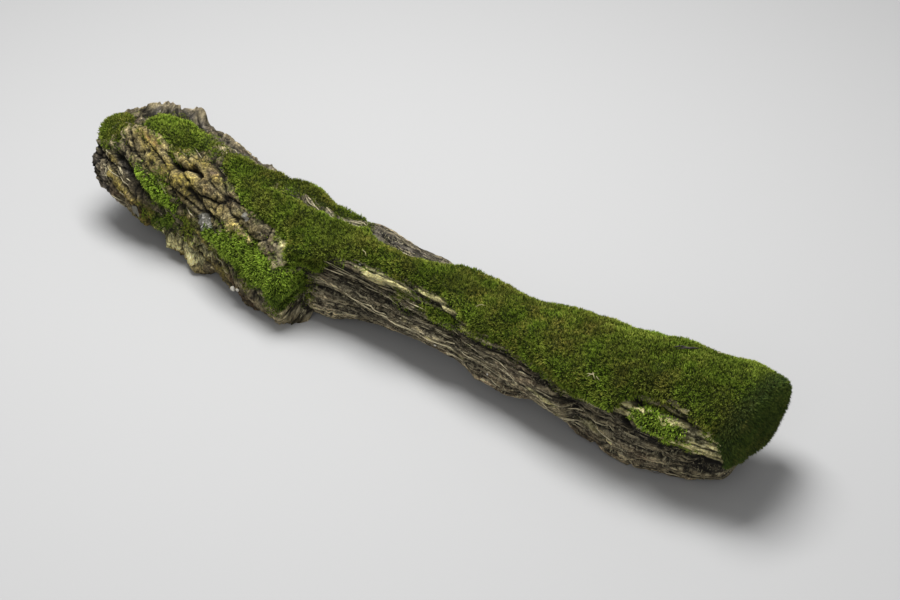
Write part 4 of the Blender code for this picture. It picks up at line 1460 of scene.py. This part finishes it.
def moss_cover(x, angle, spread, cap):
    """0 on bare bark to 1 under moss."""
    return smoothstep(*COVER_REACH, deepest(moss_inside(x, angle, spread, cap, 0.0)))


def keep_in_box(points):
    """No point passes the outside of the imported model."""
    low, high = CAD_BOUNDS
    return np.clip(points, np.array(low) + BOX_MARGIN, np.array(high) - BOX_MARGIN)


def rough_shift(points, rate):
    """A small wander of every point, so that the skin does not show its rows and columns."""
    noise.seed_set(WANDER_SEED)
    places = (points.reshape(-1, 3) * rate).tolist()
    return np.array([noise.noise_vector(place) for place in places]).reshape(points.shape)


def lay_flats(points):
    """The lowest points lie level on the ground."""
    points[..., 2] = np.where(points[..., 2] < GROUND_CONTACT, 0.0, points[..., 2])
    return points


def broken_face(angle, spread):
    """The torn wood of the butt end, roughly from -1 to 1."""
    radians = np.radians(angle)
    across = TORN_END_RATE_ACROSS * spread * np.cos(radians)
    up = TORN_END_RATE_UP * spread * np.sin(radians)
    places = np.stack([part.ravel() for part in (np.full(angle.shape, TORN_END_SEED), across, up)], axis=-1)
    values = [noise.fractal(place, FACE_ROUGHNESS, LACUNARITY, FACE_OCTAVES) for place in places.tolist()]
    return np.array(values).reshape(angle.shape)


def torn_limb(x, angle):
    """1 on the break of the limb stub, 0 away from it."""
    torn = smoothstep(*LIMB_TORN_START, x) * (1.0 - smoothstep(*LIMB_TORN_END, x))
    return torn * smoothstep(*LIMB_TORN_FADE, np.abs(turn(angle - LIMB_SIDE)) - LIMB_TORN_WIDTH)


def hollows(rim):
    """How far the skin lies below what is round it, from -1 to 1."""
    total = sum(weight * (blurred(rim, reach) - rim) for reach, weight in HOLLOWS)
    return np.clip(total / HOLLOW_DEPTH, -1.0, 1.0)


def bark_masks(x, angle, spread, cap, butt, rot):
    """What the bark's material reads at each point, apart from the relief."""
    fray = FRINGE * rough_noise(x, angle, *MOSS_FRINGE)
    near_moss = deepest(moss_inside(x, angle, spread, cap, fray))
    wander = 1.0 + COLOUR_WANDER_SHARE * rough_noise(x, angle, *COLOUR_WANDER)
    turned = np.radians(grain_angle(x, angle))
    reach = TYPICAL_RADIUS * spread
    pale = smoothstep(*PALE_BAND, tube_noise(x, angle, *PALE_PATCHES))
    crackle = CRACKLE_LEAST + CRACKLE_BUTT * butt + CRACKLE_TIP * smoothstep(*TIP_BARK_START, x)
    masks = {
        "grain": np.stack((x, reach * np.cos(turned), reach * np.sin(turned)), axis=-1),
        "pale": PALE_LEAST + PALE_MORE * pale,
        "crackle": crackle * smoothstep(*CRACKLE_BAND, tube_noise(x, angle, *CRACKLE_PATCHES)),
        "grey": np.clip(painted(x, angle, GREY_PLACES) * wander + GREY_END_FACE * rot, 0.0, 1.0),
        "crusted": np.clip(painted(x, angle, LICHEN_PLACES) * (wander + LICHEN_MORE), 0.0, 1.0),
        # Painted shade from the shaded places
        "shade": painted(x, angle, SHADE_PLACES),
        "algae": smoothstep(*ALGAE_REACH, near_moss),
    }
    for name, places in (("ochre", OCHRE_PLACES), ("cream", CREAM_PLACES), ("rust", RUST_PLACES)):
        masks[name] = np.clip(painted(x, angle, places) * wander, 0.0, 1.0)
    return masks


def make_bark(colours):
    """The closed skin of the log, with its relief, its torn butt end and its masks."""
    x, angle, spread, cap = bark_grid()
    cover = moss_cover(x, angle, spread, cap)
    relief, value, butt, split = fine_relief(x, angle, cover)
    rot = (x < 0) * cap
    calm = np.where(rot > 0, smoothstep(*CALM_RIM, spread), 1.0)
    broken = broken_face(angle, spread)
    rim = wood_rim(x, angle, cover) + relief * calm
    points = place_on_stem(x, angle, rim, spread, cap)
    points[..., 0] += rot * TORN_END_DEPTH * broken * smoothstep(*TORN_RIM, spread)
    crumbly = rough_shift(points, CRUMBLE_RATE) * (CRUMBLE + BUTT_CRUMBLE * butt)[..., None]
    shift = SHIFT + TORN_SHIFT * torn_limb(x, angle) + ROT_SHIFT * rot
    points = points + crumbly + rough_shift(points, SHIFT_RATE) * shift[..., None]
    points = lay_flats(keep_in_box(points))
    masks = bark_masks(x, angle, spread, cap, butt, rot)
    # Painted shade in the hollows and painted highlight on the ridges, from the relief and from the torn
    # wood of the butt end
    masks["cavity"] = hollows(rim) * calm + np.clip(TORN_HOLLOW * broken, -1.0, 1.0) * (1.0 - calm)
    masks["split"] = np.clip(split, 0.0, 1.0) * calm
    masks["plate"] = value * calm + 0.5 * (1.0 - calm)
    masks["plated"] = butt
    quads, ends = grid_faces(*x.shape)
    masks = {name: with_poles(field) for name, field in masks.items()}
    mesh = make_mesh("log_bark", with_poles(points), quads.tolist() + ends.tolist(), masks)
    settle(add_piece("log_bark", mesh, bark_finish(colours)), "bark", "log")


# Moss

def mossy_ground(x, angle, spread, cap):
    """The bark under the moss, with its relief softened where the moss is deep."""
    cover = moss_cover(x, angle, spread, cap)
    rim = wood_rim(x, angle, cover) + fine_relief(x, angle, cover)[0]
    return place_on_stem(x, angle, rim, spread, cap)


def moss_grid(name):
    """A fine grid over one moss node."""
    if name == "moss_carpet":
        return region_grid(*CARPET_GRID)
    if name == "moss_limb_pad":
        return region_grid(*LIMB_PAD_GRID)
    for cushion, middle_x, middle_angle, half_length, half_width, tilt, _ in CUSHIONS:
        if cushion == name:
            reach = half_length + CUSHION_MARGIN
            turned = math.degrees((half_width + CUSHION_SIDE_MARGIN) / TYPICAL_RADIUS) + abs(tilt) * reach
            low = max(middle_x - reach, BUTT_X)
            return region_grid(low, middle_x + reach, middle_angle - turned, middle_angle + turned,
                               CUSHION_CELL, 0)
    raise RuntimeError(f"no moss is described as {name}")


def region_grid(x0, x1, angle0, angle1, cell, cap_rings):
    """A grid over part of the skin, which may run on over the tip's end face in rings."""
    side = np.linspace(x0, x1, int((x1 - x0) / cell) + 1)
    inner = np.linspace(INNERMOST_RING, 1.0, cap_rings + 1)[:-1] if cap_rings else np.empty(0)
    along = np.concatenate((side, np.full(len(inner), x1)))
    spread = np.concatenate((np.ones(len(side)), inner[::-1]))
    angle = np.linspace(angle0, angle1, int(math.radians(angle1 - angle0) * TYPICAL_RADIUS / cell) + 1)
    return spread_out(along, angle, spread)


def felt_height(x, angle, cap, inside, thick, shoot_length):
    """How far the felt stands off the bark. It sinks in at the edge of the moss."""
    lumps = 1.0 + MOSS_LUMP * tube_noise(x, angle, *MOSS_LUMPS)
    lumps = lumps + MOSS_TUFT * tube_noise(x, angle, *MOSS_TUFTS)
    lumps = lumps + MOSS_FINE_TUFT * tube_noise(x, angle, *MOSS_FINE_TUFTS)
    height = (MOSS_EDGE + (thick - MOSS_EDGE) * smoothstep(*MOSS_EDGE_REACH, inside)) * lumps
    height = np.maximum(height - shoot_length * FELT_BELOW_TIPS, 0.0)
    height = height * (1.0 - END_FACE_THINNING * cap)
    rise = smoothstep(*MOSS_EDGE_RISE, inside)
    return height * rise - MOSS_EDGE_SINK * (1.0 - rise)


def shoot_fields(x, angle, cap, inside):
    """How thickly the shoots stand, how far they hang, which also sets their painted shade, how long they
    are and how fresh.
    """
    thin = tube_noise(x, angle, *THIN_PATCHES) + THIN_SPOT_SHARE * tube_noise(x, angle, *THIN_SPOTS)
    lush = smoothstep(*LUSH_REACH, inside + LUSH_WANDER * thin)
    lush = lush * (1.0 - THIN_SHARE * smoothstep(*THIN_START, thin))
    sine = np.sin(np.radians(angle))
    shoulder = DROOP_SHOULDER * smoothstep(SHOULDER_START, TIP_X, x)
    droop = np.maximum(DROOP_TOP + DROOP_SIDE * smoothstep(*DROOP_SINES, sine), DROOP_TOP + shoulder)
    droop = np.where(cap > 0, DROOP_END_FACE, droop)
    low_edge = (1.0 - smoothstep(*EDGE_BAND, inside)) * smoothstep(*LOW_EDGE_SINES, sine) * (cap == 0)
    return {
        "lush": np.clip(THINNEST + (1.0 - THINNEST) * lush, THINNEST, 1.0),
        "droop": np.maximum(droop, LOW_EDGE_DROOP * low_edge),
        "long": 1.0 + LONGER * low_edge + LONGER * (cap > 0),
        "fresh": LOW_EDGE_FRESH * low_edge * (1.0 - smoothstep(*FRESH_FADE, x)),
    }


def closed_sheet(top, foot, corners):
    """The points and faces of a mat with a top, a foot and walls, of the quads with these corners."""
    edges = {}
    for quad in corners.tolist():
        for a, b in zip(quad, quad[1:] + quad[:1]):
            edges[(a, b)] = edges.get((a, b), 0) + 1
    rim = [edge for edge in edges if (edge[1], edge[0]) not in edges]
    used = np.unique(corners)
    place = np.full(len(top), -1)
    place[used] = np.arange(len(used))
    count = len(used)
    faces = place[corners].tolist()
    soles = [[v + count for v in reversed(quad)] for quad in faces]
    walls = [[place[b], place[a], place[a] + count, place[b] + count] for a, b in rim]
    return used, faces, np.concatenate((top[used], foot[used])), faces + soles + walls


def make_felt(name, thick, colours):
    """The closed felt of one moss node, and the sheet of ground that its shoots stand on."""
    x, angle, spread, cap = moss_grid(name)
    fray = EDGE_FRAY * rough_noise(x, angle, *EDGE_TUFTS)
    fray = fray + EDGE_WANDER * tube_noise(x, angle, *EDGE_NOTCHES)
    inside = moss_inside(x, angle, spread, cap, fray)[name] + MOSS_SPILL
    height = felt_height(x, angle, cap, inside, thick, colours.shoot_length)
    under = mossy_ground(x, angle, spread, cap)
    away = outward(x, angle, spread, cap)
    top = keep_in_box(under + away * height[..., None]).reshape(-1, 3)
    foot = (under - away * FELT_DEPTH).reshape(-1, 3)
    grown = inside > 0.0
    chosen = grown[:-1, :-1] & grown[1:, :-1] & grown[1:, 1:] & grown[:-1, 1:]
    used, faces, points, closed = closed_sheet(top, foot, quad_corners(chosen, x.shape[1]))
    felt = make_mesh(f"{name}_felt", points, closed)
    settle(add_piece(f"{name}_felt", felt, felt_finish(colours)), "moss", name)
    fields = {key: field.reshape(-1)[used] for key, field in shoot_fields(x, angle, cap, inside).items()}
    return top[used], np.array(faces), fields


def sheet_sections(name, points, faces, fields, sections):
    """The ground sheet cut into lengths, so that no piece of shoots is too large."""
    middle = points[faces].mean(axis=1)[:, 0]
    cuts = np.quantile(middle, np.linspace(0.0, 1.0, sections + 1))
    cuts[0] -= 1.0
    cuts[-1] += 1.0
    for number, (low, high) in enumerate(zip(cuts, cuts[1:])):
        sheet = f"{name}_shoots" if sections == 1 else f"{name}_shoots_{number + 1}"
        yield sheet, ground_sheet(sheet, points, faces[(middle > low) & (middle <= high)], fields)


def ground_sheet(name, points, faces, fields):
    """A mesh of only the points that the faces use, with their fields."""
    used, local = np.unique(faces, return_inverse=True)
    fields = {key: values[used] for key, values in fields.items()}
    return make_mesh(f"{name}_ground", points[used], local.reshape(faces.shape).tolist(), fields)


def grow_moss(name, thick, sizes, fresh, sections=1):
    """One moss node: its felt and its shoots."""
    points, faces, fields = make_felt(name, thick, sizes)
    finish = moss_finish(f"{name}_leaves", sizes, fresh)
    kinds = kind_collection(f"{name}_kinds", [shoot_kind(*kind) for kind in SHOOTS])
    for number, (sheet, ground) in enumerate(sheet_sections(name, points, faces, fields, sections)):
        scatter(sheet, ground, kinds, finish, **{
            "Spacing": sizes.shoot_spacing, "Size": sizes.shoot_length, "Size Spread": 0.38,
            "Upright": 0.35, "Tilt": 0.42, "Seed": SHOOT_SEED + number})
    forget_kinds(kinds)


def stray_moss(sizes):
    """Single shoots on the bark around the moss, thinning out away from it."""
    x, angle, spread, cap = region_grid(*STRAY_GRID)
    near = deepest(moss_inside(x, angle, spread, cap, 0.0))
    patchy = tube_noise(x, angle, *STRAY_PATCHES) + STRAY_SPOT_SHARE * tube_noise(x, angle, *STRAY_SPOTS)
    lush = smoothstep(*STRAY_START, near) * (1.0 - smoothstep(*STRAY_END, near))
    lush = lush * smoothstep(*STRAY_PATCH, patchy + STRAY_SHIFT) * STRAY_SHARE
    points = keep_in_box(mossy_ground(x, angle, spread, cap)).reshape(-1, 3)
    faces = quad_corners(lush[:-1, :-1] > STRAY_LEAST, x.shape[1])
    fields = {"lush": lush.reshape(-1), "droop": np.full(len(points), STRAY_DROOP),
              "long": np.ones(len(points)), "fresh": np.zeros(len(points))}
    ground = ground_sheet("moss_stray", points, faces, fields)
    finish = moss_finish("moss_stray_leaves", sizes, STRAY_FRESHNESS)
    kinds = kind_collection("moss_stray_kinds", [shoot_kind(*kind) for kind in STRAY_SHOOTS])
    scatter("moss_stray", ground, kinds, finish, **{
        "Spacing": sizes.shoot_spacing * STRAY_SPACING, "Size": sizes.shoot_length * STRAY_SIZE,
        "Size Spread": 0.4, "Upright": 0.3, "Tilt": 0.5, "Seed": STRAY_SEED})
    forget_kinds(kinds)


# Places on the finished log

def on_skin(x, angle):
    """Points on the bark and the ways out from it, for lists of places."""
    x = np.asarray(x, dtype=float).reshape(-1, 1)
    angle = np.asarray(angle, dtype=float).reshape(-1, 1)

    def ground(x_step, angle_step):
        return mossy_ground(x + x_step, angle + angle_step, np.ones(x.shape), np.zeros(x.shape))[:, 0]

    across = ground(0.0, SKIN_STEP_ANGLE) - ground(0.0, -SKIN_STEP_ANGLE)
    along = ground(SKIN_STEP, 0.0) - ground(-SKIN_STEP, 0.0)
    away = np.cross(along, across)
    return ground(0.0, 0.0), away / np.linalg.norm(away, axis=1)[:, None]


def lay_litter(name, parts, finish):
    """One piece of many small closed parts, each with its points and faces."""
    points, faces, count = [], [], 0
    for part_points, part_faces in parts:
        points.append(np.asarray(part_points))
        faces.extend([[v + count for v in face] for face in part_faces])
        count += len(part_points)
    settle(add_piece(name, make_mesh(name, np.concatenate(points), faces), finish), "bark")


def strand(points, away, radius):
    """A thin closed rod with pointed ends along points."""
    tangent = np.gradient(points, axis=0)
    tangent = tangent / np.linalg.norm(tangent, axis=1)[:, None]
    side = np.cross(tangent, away)
    side = side / np.linalg.norm(side, axis=1)[:, None]
    up = np.cross(side, tangent)
    bulge = np.sqrt(np.clip(np.sin(np.pi * np.linspace(0.0, 1.0, len(points))), 0.0, 1.0))
    girth = (radius * (STALK_TIP + (1.0 - STALK_TIP) * bulge))[:, None]
    rings = np.stack((points + side * girth, points + up * girth * STALK_FLATNESS, points - side * girth,
                      points - up * girth * STALK_FLATNESS), axis=1).reshape(-1, 3)
    faces = []
    for i in range(len(points) - 1):
        for k in range(4):
            a, b = 4 * i + k, 4 * i + (k + 1) % 4
            faces.append([a, b, b + 4, a + 4])
    faces.append([3, 2, 1, 0])
    last = 4 * (len(points) - 1)
    faces.append([last, last + 1, last + 2, last + 3])
    return rings, faces


def lump(middle, away, size, flatness, draw):
    """A rough closed crumb that lies on the skin."""
    shape = bmesh.new()
    bmesh.ops.create_icosphere(shape, subdivisions=1, radius=0.5)
    stretch = draw.uniform(*LUMP_STRETCH, 3) * size * np.array((1.0, 1.0, flatness))
    spin = Matrix.Rotation(draw.uniform(0.0, FULL_TURN), 3, "Z")
    turned = Vector(away).to_track_quat("Z", "Y").to_matrix() @ spin
    for vertex in shape.verts:
        bump = 1.0 + draw.uniform(-LUMP_BUMP, LUMP_BUMP)
        vertex.co = Vector(middle) + turned @ Vector(np.array(vertex.co) * stretch * bump)
    shape.verts.index_update()
    points = [tuple(vertex.co) for vertex in shape.verts]
    faces = [[vertex.index for vertex in face.verts] for face in shape.faces]
    shape.free()
    return points, faces


def make_splinters(colours):
    """Loose fibres and slivers of wood that lie along the grain of the bare side and of the butt."""
    draw = np.random.default_rng(SPLINTER_SEED)
    all_x, all_angles, lifts, kinds, radii = [], [], [], [], []
    share = np.linspace(0.0, 1.0, STALK_POINTS)
    for low_x, high_x, low_angle, high_angle, count, shortest, longest in SPLINTER_ZONES:
        for _ in range(count):
            length = draw.uniform(shortest, longest)
            start = draw.uniform(low_x, high_x - length)
            grain = draw.uniform(low_angle, high_angle) + TWIST * min(start + length / 2 - TWIST_END, 0.0)
            steps = start + np.linspace(0.0, length, STALK_POINTS)
            sway = draw.uniform(*SPLINTER_SWAY)
            sway = sway * np.sin(np.linspace(0.0, draw.uniform(*SPLINTER_BENDS), STALK_POINTS))
            all_x.append(steps)
            all_angles.append(grain - TWIST * np.minimum(steps - TWIST_END, 0.0) + sway)
            lift = np.full(STALK_POINTS, draw.uniform(*SPLINTER_LIFT))
            if draw.uniform() < CURLED_SHARE:
                lift = lift + share**2 * draw.uniform(*SPLINTER_CURL)
            lifts.append(lift)
            kinds.append("splinters_light" if draw.uniform() < LIGHT_SHARE else "splinters_dark")
            radii.append(draw.uniform(*SPLINTER_RADIUS))
    places, aways = on_skin(np.concatenate(all_x), np.concatenate(all_angles))
    parts = {"splinters_light": [], "splinters_dark": []}
    for number, (kind, radius, lift) in enumerate(zip(kinds, radii, lifts)):
        one = slice(number * STALK_POINTS, (number + 1) * STALK_POINTS)
        place, away = places[one], aways[one]
        smooth = place.copy()
        smooth[1:-1] = (place[:-2] + place[1:-1] * 2 + place[2:]) / 4
        parts[kind].append(strand(keep_in_box(smooth + away * lift[:, None]), away, radius))
    light = plain_finish("splinter_light", colours.thread, colours.side_light, 200.0)
    dark = plain_finish("splinter_dark", colours.side_light, colours.side_dark, 160.0)
    lay_litter("splinters_light", parts["splinters_light"], light)
    lay_litter("splinters_dark", parts["splinters_dark"], dark)


def make_litter(colours):
    """Lichens, pale crumbs, straws and a dark twig."""
    draw = np.random.default_rng(LITTER_SEED)
    lichens = []
    for x, angle, reach, count in LICHENS:
        off = draw.normal(0.0, LICHEN_SPREAD, (count, 2)) * reach
        place, away = on_skin(x + off[:, 0], angle + off[:, 1] * math.degrees(1.0 / TYPICAL_RADIUS))
        for spot, out in zip(place, away):
            lean = out + draw.uniform(*LICHEN_LEAN, 3)
            size = draw.uniform(*LICHEN_SIZE) * min(reach, LICHEN_LARGEST)
            lichens.append(lump(spot + out * LICHEN_LIFT, lean, size, LICHEN_FLATNESS, draw))
    lay_litter("lichens", lichens, plain_finish("lichen", colours.lichen_light, colours.lichen_dark, 260.0))
    place, away = on_skin([x for x, _, _ in CRUMBS], [angle for _, angle, _ in CRUMBS])
    crumbs = [lump(spot + out * size * CRUMB_LIFT, out, size, CRUMB_FLATNESS, draw)
              for spot, out, (_, _, size) in zip(place, away, CRUMBS)]
    lay_litter("pale_crumbs", crumbs, plain_finish("pale_crumb", CRUMB_LIGHT, CRUMB_DARK, 90.0))
    straw = plain_finish("dry_straw", colours.straw_light, colours.straw_dark, 90.0)
    twig = plain_finish("old_twig", colours.grey_dark, colours.side_dark, 90.0)
    lay_litter("straws", [laid_on_moss(*line) for line in STRAWS], straw)
    lay_litter("twig", [laid_on_moss(*line) for line in TWIGS], twig)


def laid_on_moss(x0, angle0, x1, angle1, radius, arch):
    """A bent stalk that lies over the moss between two places."""
    share = np.linspace(0.0, 1.0, STALK_POINTS)
    place, away = on_skin(x0 + (x1 - x0) * share, angle0 + (angle1 - angle0) * share)
    lift = CARPET_THICK + radius + arch * np.sin(np.pi * share)
    return strand(keep_in_box(place + away * lift[:, None]), away, radius)


# Add-on

def colour_property(name, description, default):
    return bpy.props.FloatVectorProperty(name=name, description=description, default=(*default, 1.0), size=4,
                                         min=0.0, max=1.0, subtype="COLOR")


class MOSSYLOG_PG_bark(bpy.types.PropertyGroup):
    side_light: colour_property("Side light", "Lit fibres of the bare side", (0.426, 0.369, 0.238))
    side_dark: colour_property("Side dark", "Dark fibres of the bare side", (0.011, 0.009, 0.006))
    butt_light: colour_property("Butt light", "Lit bark of the butt", (0.500, 0.431, 0.264))
    butt_dark: colour_property("Butt dark", "Dark bark of the butt", (0.090, 0.072, 0.043))
    ochre_light: colour_property("Ochre light", "Light part of the ochre crust", (0.704, 0.567, 0.138))
    ochre_dark: colour_property("Ochre dark", "Dark part of the ochre crust", (0.20, 0.165, 0.042))
    cream_light: colour_property("Cream light", "Light part of the pale wood", (1.000, 0.930, 0.490))
    cream_dark: colour_property("Cream dark", "Dark part of the pale wood", (0.460, 0.414, 0.190))
    grey_light: colour_property("Grey light", "Light part of the weathered wood", (0.26, 0.235, 0.20))
    grey_dark: colour_property("Grey dark", "Dark part of the weathered wood", (0.050, 0.043, 0.036))
    brown_light: colour_property("Brown light", "Light part of the brown plates", (0.27, 0.185, 0.120))
    brown_dark: colour_property("Brown dark", "Dark part of the brown plates", (0.060, 0.041, 0.027))
    straw_light: colour_property("Straw light", "Light part of the dry straws", (0.52, 0.46, 0.27))
    straw_dark: colour_property("Straw dark", "Dark part of the dry straws", (0.32, 0.27, 0.13))
    rust: colour_property("Rust", "Red-brown inner bark", (0.28, 0.13, 0.065))
    algae: colour_property("Algae", "Green film near the moss", (0.16, 0.18, 0.045))
    thread: colour_property("Pale threads", "Palest fibres of the bare side", (0.672, 0.605, 0.381))
    lichen_light: colour_property("Lichen light", "Palest lichen", (0.46, 0.45, 0.40))
    lichen_dark: colour_property("Lichen dark", "Greyer lichen", (0.24, 0.23, 0.20))
    lichen: colour_property("Lichen specks", "Pale specks on the bark", (0.47, 0.455, 0.385))
    # Painted shade in the hollows and shaded places, and the colour of the dark cracks and of the algae
    # film's dark part
    dirt: colour_property("Dirt", "Dark dirt in the cracks", (0.012, 0.0100, 0.007))


class MOSSYLOG_PG_moss(bpy.types.PropertyGroup):
    shoot_length: bpy.props.FloatProperty(name="Shoot length", description="Height of a moss shoot",
                                          default=0.0068, min=0.002, max=0.02, unit="LENGTH")
    shoot_spacing: bpy.props.FloatProperty(name="Shoot spacing", description="Least distance between shoots",
                                           default=0.0016, min=0.001, max=0.02, unit="LENGTH")
    leaf: colour_property("Leaf", "Main green of the moss", (0.145, 0.225, 0.020))
    olive: colour_property("Olive", "Drier patches of the moss", (0.175, 0.185, 0.032))
    shadow: colour_property("Shadow", "Dark shoots among the others", (0.040, 0.066, 0.008))
    deep: colour_property("Deep", "Foot of the shoots", (0.014, 0.022, 0.004))
    tip: colour_property("Tip", "Tips of the shoots", (0.37, 0.48, 0.062))
    straw: colour_property("Straw", "Yellow tips", (0.56, 0.48, 0.105))
    fresh: colour_property("Fresh", "Lush green of the cushions", (0.135, 0.215, 0.020))
    fresh_tip: colour_property("Fresh tip", "Tips of the lush shoots", (0.42, 0.54, 0.075))
    # Painted shade: the colour that the hanging shoots of the end face and the shoulder are mixed towards
    shaded: colour_property("Shaded", "Blue-green shoots of the end face", (0.040, 0.072, 0.024))
    felt: colour_property("Felt", "Brown-green felt under the shoots", (0.040, 0.050, 0.010))


class MOSSYLOG_PG_stage(bpy.types.PropertyGroup):
    floor: colour_property("Floor", "Pale studio floor", (0.42, 0.42, 0.42))
    key_power: bpy.props.FloatProperty(name="Key light", description="Power of the large soft light",
                                       default=190.0, min=0.0, subtype="POWER")
    fill_power: bpy.props.FloatProperty(name="Fill light", description="Power of the weak near light",
                                        default=26.0, min=0.0, subtype="POWER")
    sky: bpy.props.FloatProperty(name="Sky", description="Strength of the even light all round",
                                 default=0.30, min=0.0, subtype="FACTOR")


class MOSSYLOG_OT_bark(bpy.types.Operator):
    """Make the bark of the stem, with its cracks, plates and crust"""

    bl_idname = "mossylog.bark"
    bl_label = "Bark"

    def execute(self, context):
        make_bark(context.scene.mossylog_bark)
        return {"FINISHED"}


class MOSSYLOG_OT_carpet(bpy.types.Operator):
    """Grow the moss carpet along the top and over the tip"""

    bl_idname = "mossylog.carpet"
    bl_label = "Moss Carpet"

    def execute(self, context):
        sizes = context.scene.mossylog_moss
        grow_moss("moss_carpet", CARPET_THICK, sizes, 0.0, CARPET_SECTIONS)
        return {"FINISHED"}


class MOSSYLOG_OT_cushions(bpy.types.Operator):
    """Grow the separate moss cushions of the butt, the limb stub and the side"""

    bl_idname = "mossylog.cushions"
    bl_label = "Moss Cushions"

    def execute(self, context):
        sizes = context.scene.mossylog_moss
        for name, thick in moss_thickness().items():
            grow_moss(name, thick, sizes, FRESHNESS[name])
        return {"FINISHED"}


class MOSSYLOG_OT_litter(bpy.types.Operator):
    """Lay the stray shoots, the loose fibres, the lichen and the crumbs"""

    bl_idname = "mossylog.litter"
    bl_label = "Litter"

    def execute(self, context):
        stray_moss(context.scene.mossylog_moss)
        make_splinters(context.scene.mossylog_bark)
        make_litter(context.scene.mossylog_bark)
        return {"FINISHED"}


def add_floor(colour):
    """The pale studio floor."""
    corners = [(x * FLOOR_HALF, y * FLOOR_HALF, 0.0) for x, y in ((-1, -1), (1, -1), (1, 1), (-1, 1))]
    mesh = bpy.data.meshes.new("floor")
    mesh.from_pydata(corners, [], [(0, 1, 2, 3)])
    finish, _, surface = new_material("floor", 0.9, 0.1)
    surface["Base Color"].default_value = colour
    add_piece("floor", mesh, finish)


def aim(name, data, place, focus):
    """A light or a camera at a place from the focus, turned to look at it."""
    thing = bpy.data.objects.new(name, data)
    thing.location = focus + place
    thing.rotation_euler = place.to_track_quat("Z", "Y").to_euler()
    bpy.context.scene.collection.objects.link(thing)
    return thing


class MOSSYLOG_OT_stage(bpy.types.Operator):
    """Set the pale floor, the soft light and the camera"""

    bl_idname = "mossylog.stage"
    bl_label = "Studio"

    def execute(self, context):
        sizes = context.scene.mossylog_stage
        scene = context.scene
        add_floor(sizes.floor)
        focus = Vector(HOME) + Vector(FOCUS)
        powers = {"key": sizes.key_power, "fill": sizes.fill_power}
        for name, place, size in LIGHTS:
            light = bpy.data.lights.new(name, "AREA")
            light.energy = powers[name]
            light.size = size
            aim(name, light, Vector(place), focus)
        world = bpy.data.worlds.new("studio")
        world.use_nodes = True
        sky = world.node_tree.nodes["Background"].inputs
        sky["Color"].default_value = (1.0, 1.0, 1.0, 1.0)
        sky["Strength"].default_value = sizes.sky
        scene.world = world
        scene.view_settings.view_transform = "Standard"
        view = bpy.data.cameras.new("camera")
        view.lens = LENS
        view.sensor_width = SENSOR_WIDTH
        azimuth, elevation = math.radians(CAMERA_AZIMUTH), math.radians(CAMERA_ELEVATION)
        back = Vector((math.sin(azimuth) * math.cos(elevation), -math.cos(azimuth) * math.cos(elevation),
                       math.sin(elevation)))
        scene.camera = aim("camera", view, back * CAMERA_DISTANCE, focus)
        return {"FINISHED"}


OPERATORS = (
    MOSSYLOG_OT_bark,
    MOSSYLOG_OT_carpet,
    MOSSYLOG_OT_cushions,
    MOSSYLOG_OT_litter,
    MOSSYLOG_OT_stage,
)


class MOSSYLOG_PT_panel(bpy.types.Panel):
    """Sizes, colours and steps of the mossy log"""

    bl_idname = "MOSSYLOG_PT_panel"
    bl_label = "Mossy Log"
    bl_space_type = "VIEW_3D"
    bl_region_type = "UI"
    bl_category = "Mossy Log"

    def draw(self, context):
        layout = self.layout
        for operator in OPERATORS:
            layout.operator(operator.bl_idname)
        for group_name, _ in GROUPS:
            box = layout.box()
            group = getattr(context.scene, group_name)
            for name in group.__annotations__:
                box.prop(group, name)


GROUPS = (
    ("mossylog_bark", MOSSYLOG_PG_bark),
    ("mossylog_moss", MOSSYLOG_PG_moss),
    ("mossylog_stage", MOSSYLOG_PG_stage),
)


def register():
    for _, group in GROUPS:
        bpy.utils.register_class(group)
    for name, group in GROUPS:
        setattr(bpy.types.Scene, name, bpy.props.PointerProperty(type=group))
    for operator in OPERATORS:
        bpy.utils.register_class(operator)
    bpy.utils.register_class(MOSSYLOG_PT_panel)


def unregister():
    bpy.utils.unregister_class(MOSSYLOG_PT_panel)
    for operator in reversed(OPERATORS):
        bpy.utils.unregister_class(operator)
    for name, group in reversed(GROUPS):
        delattr(bpy.types.Scene, name)
        bpy.utils.unregister_class(group)


def main():
    register()
    bpy.ops.mossylog.bark()
    bpy.ops.mossylog.carpet()
    bpy.ops.mossylog.cushions()
    bpy.ops.mossylog.litter()
    bpy.ops.mossylog.stage()


if __name__ == "__main__":
    main()
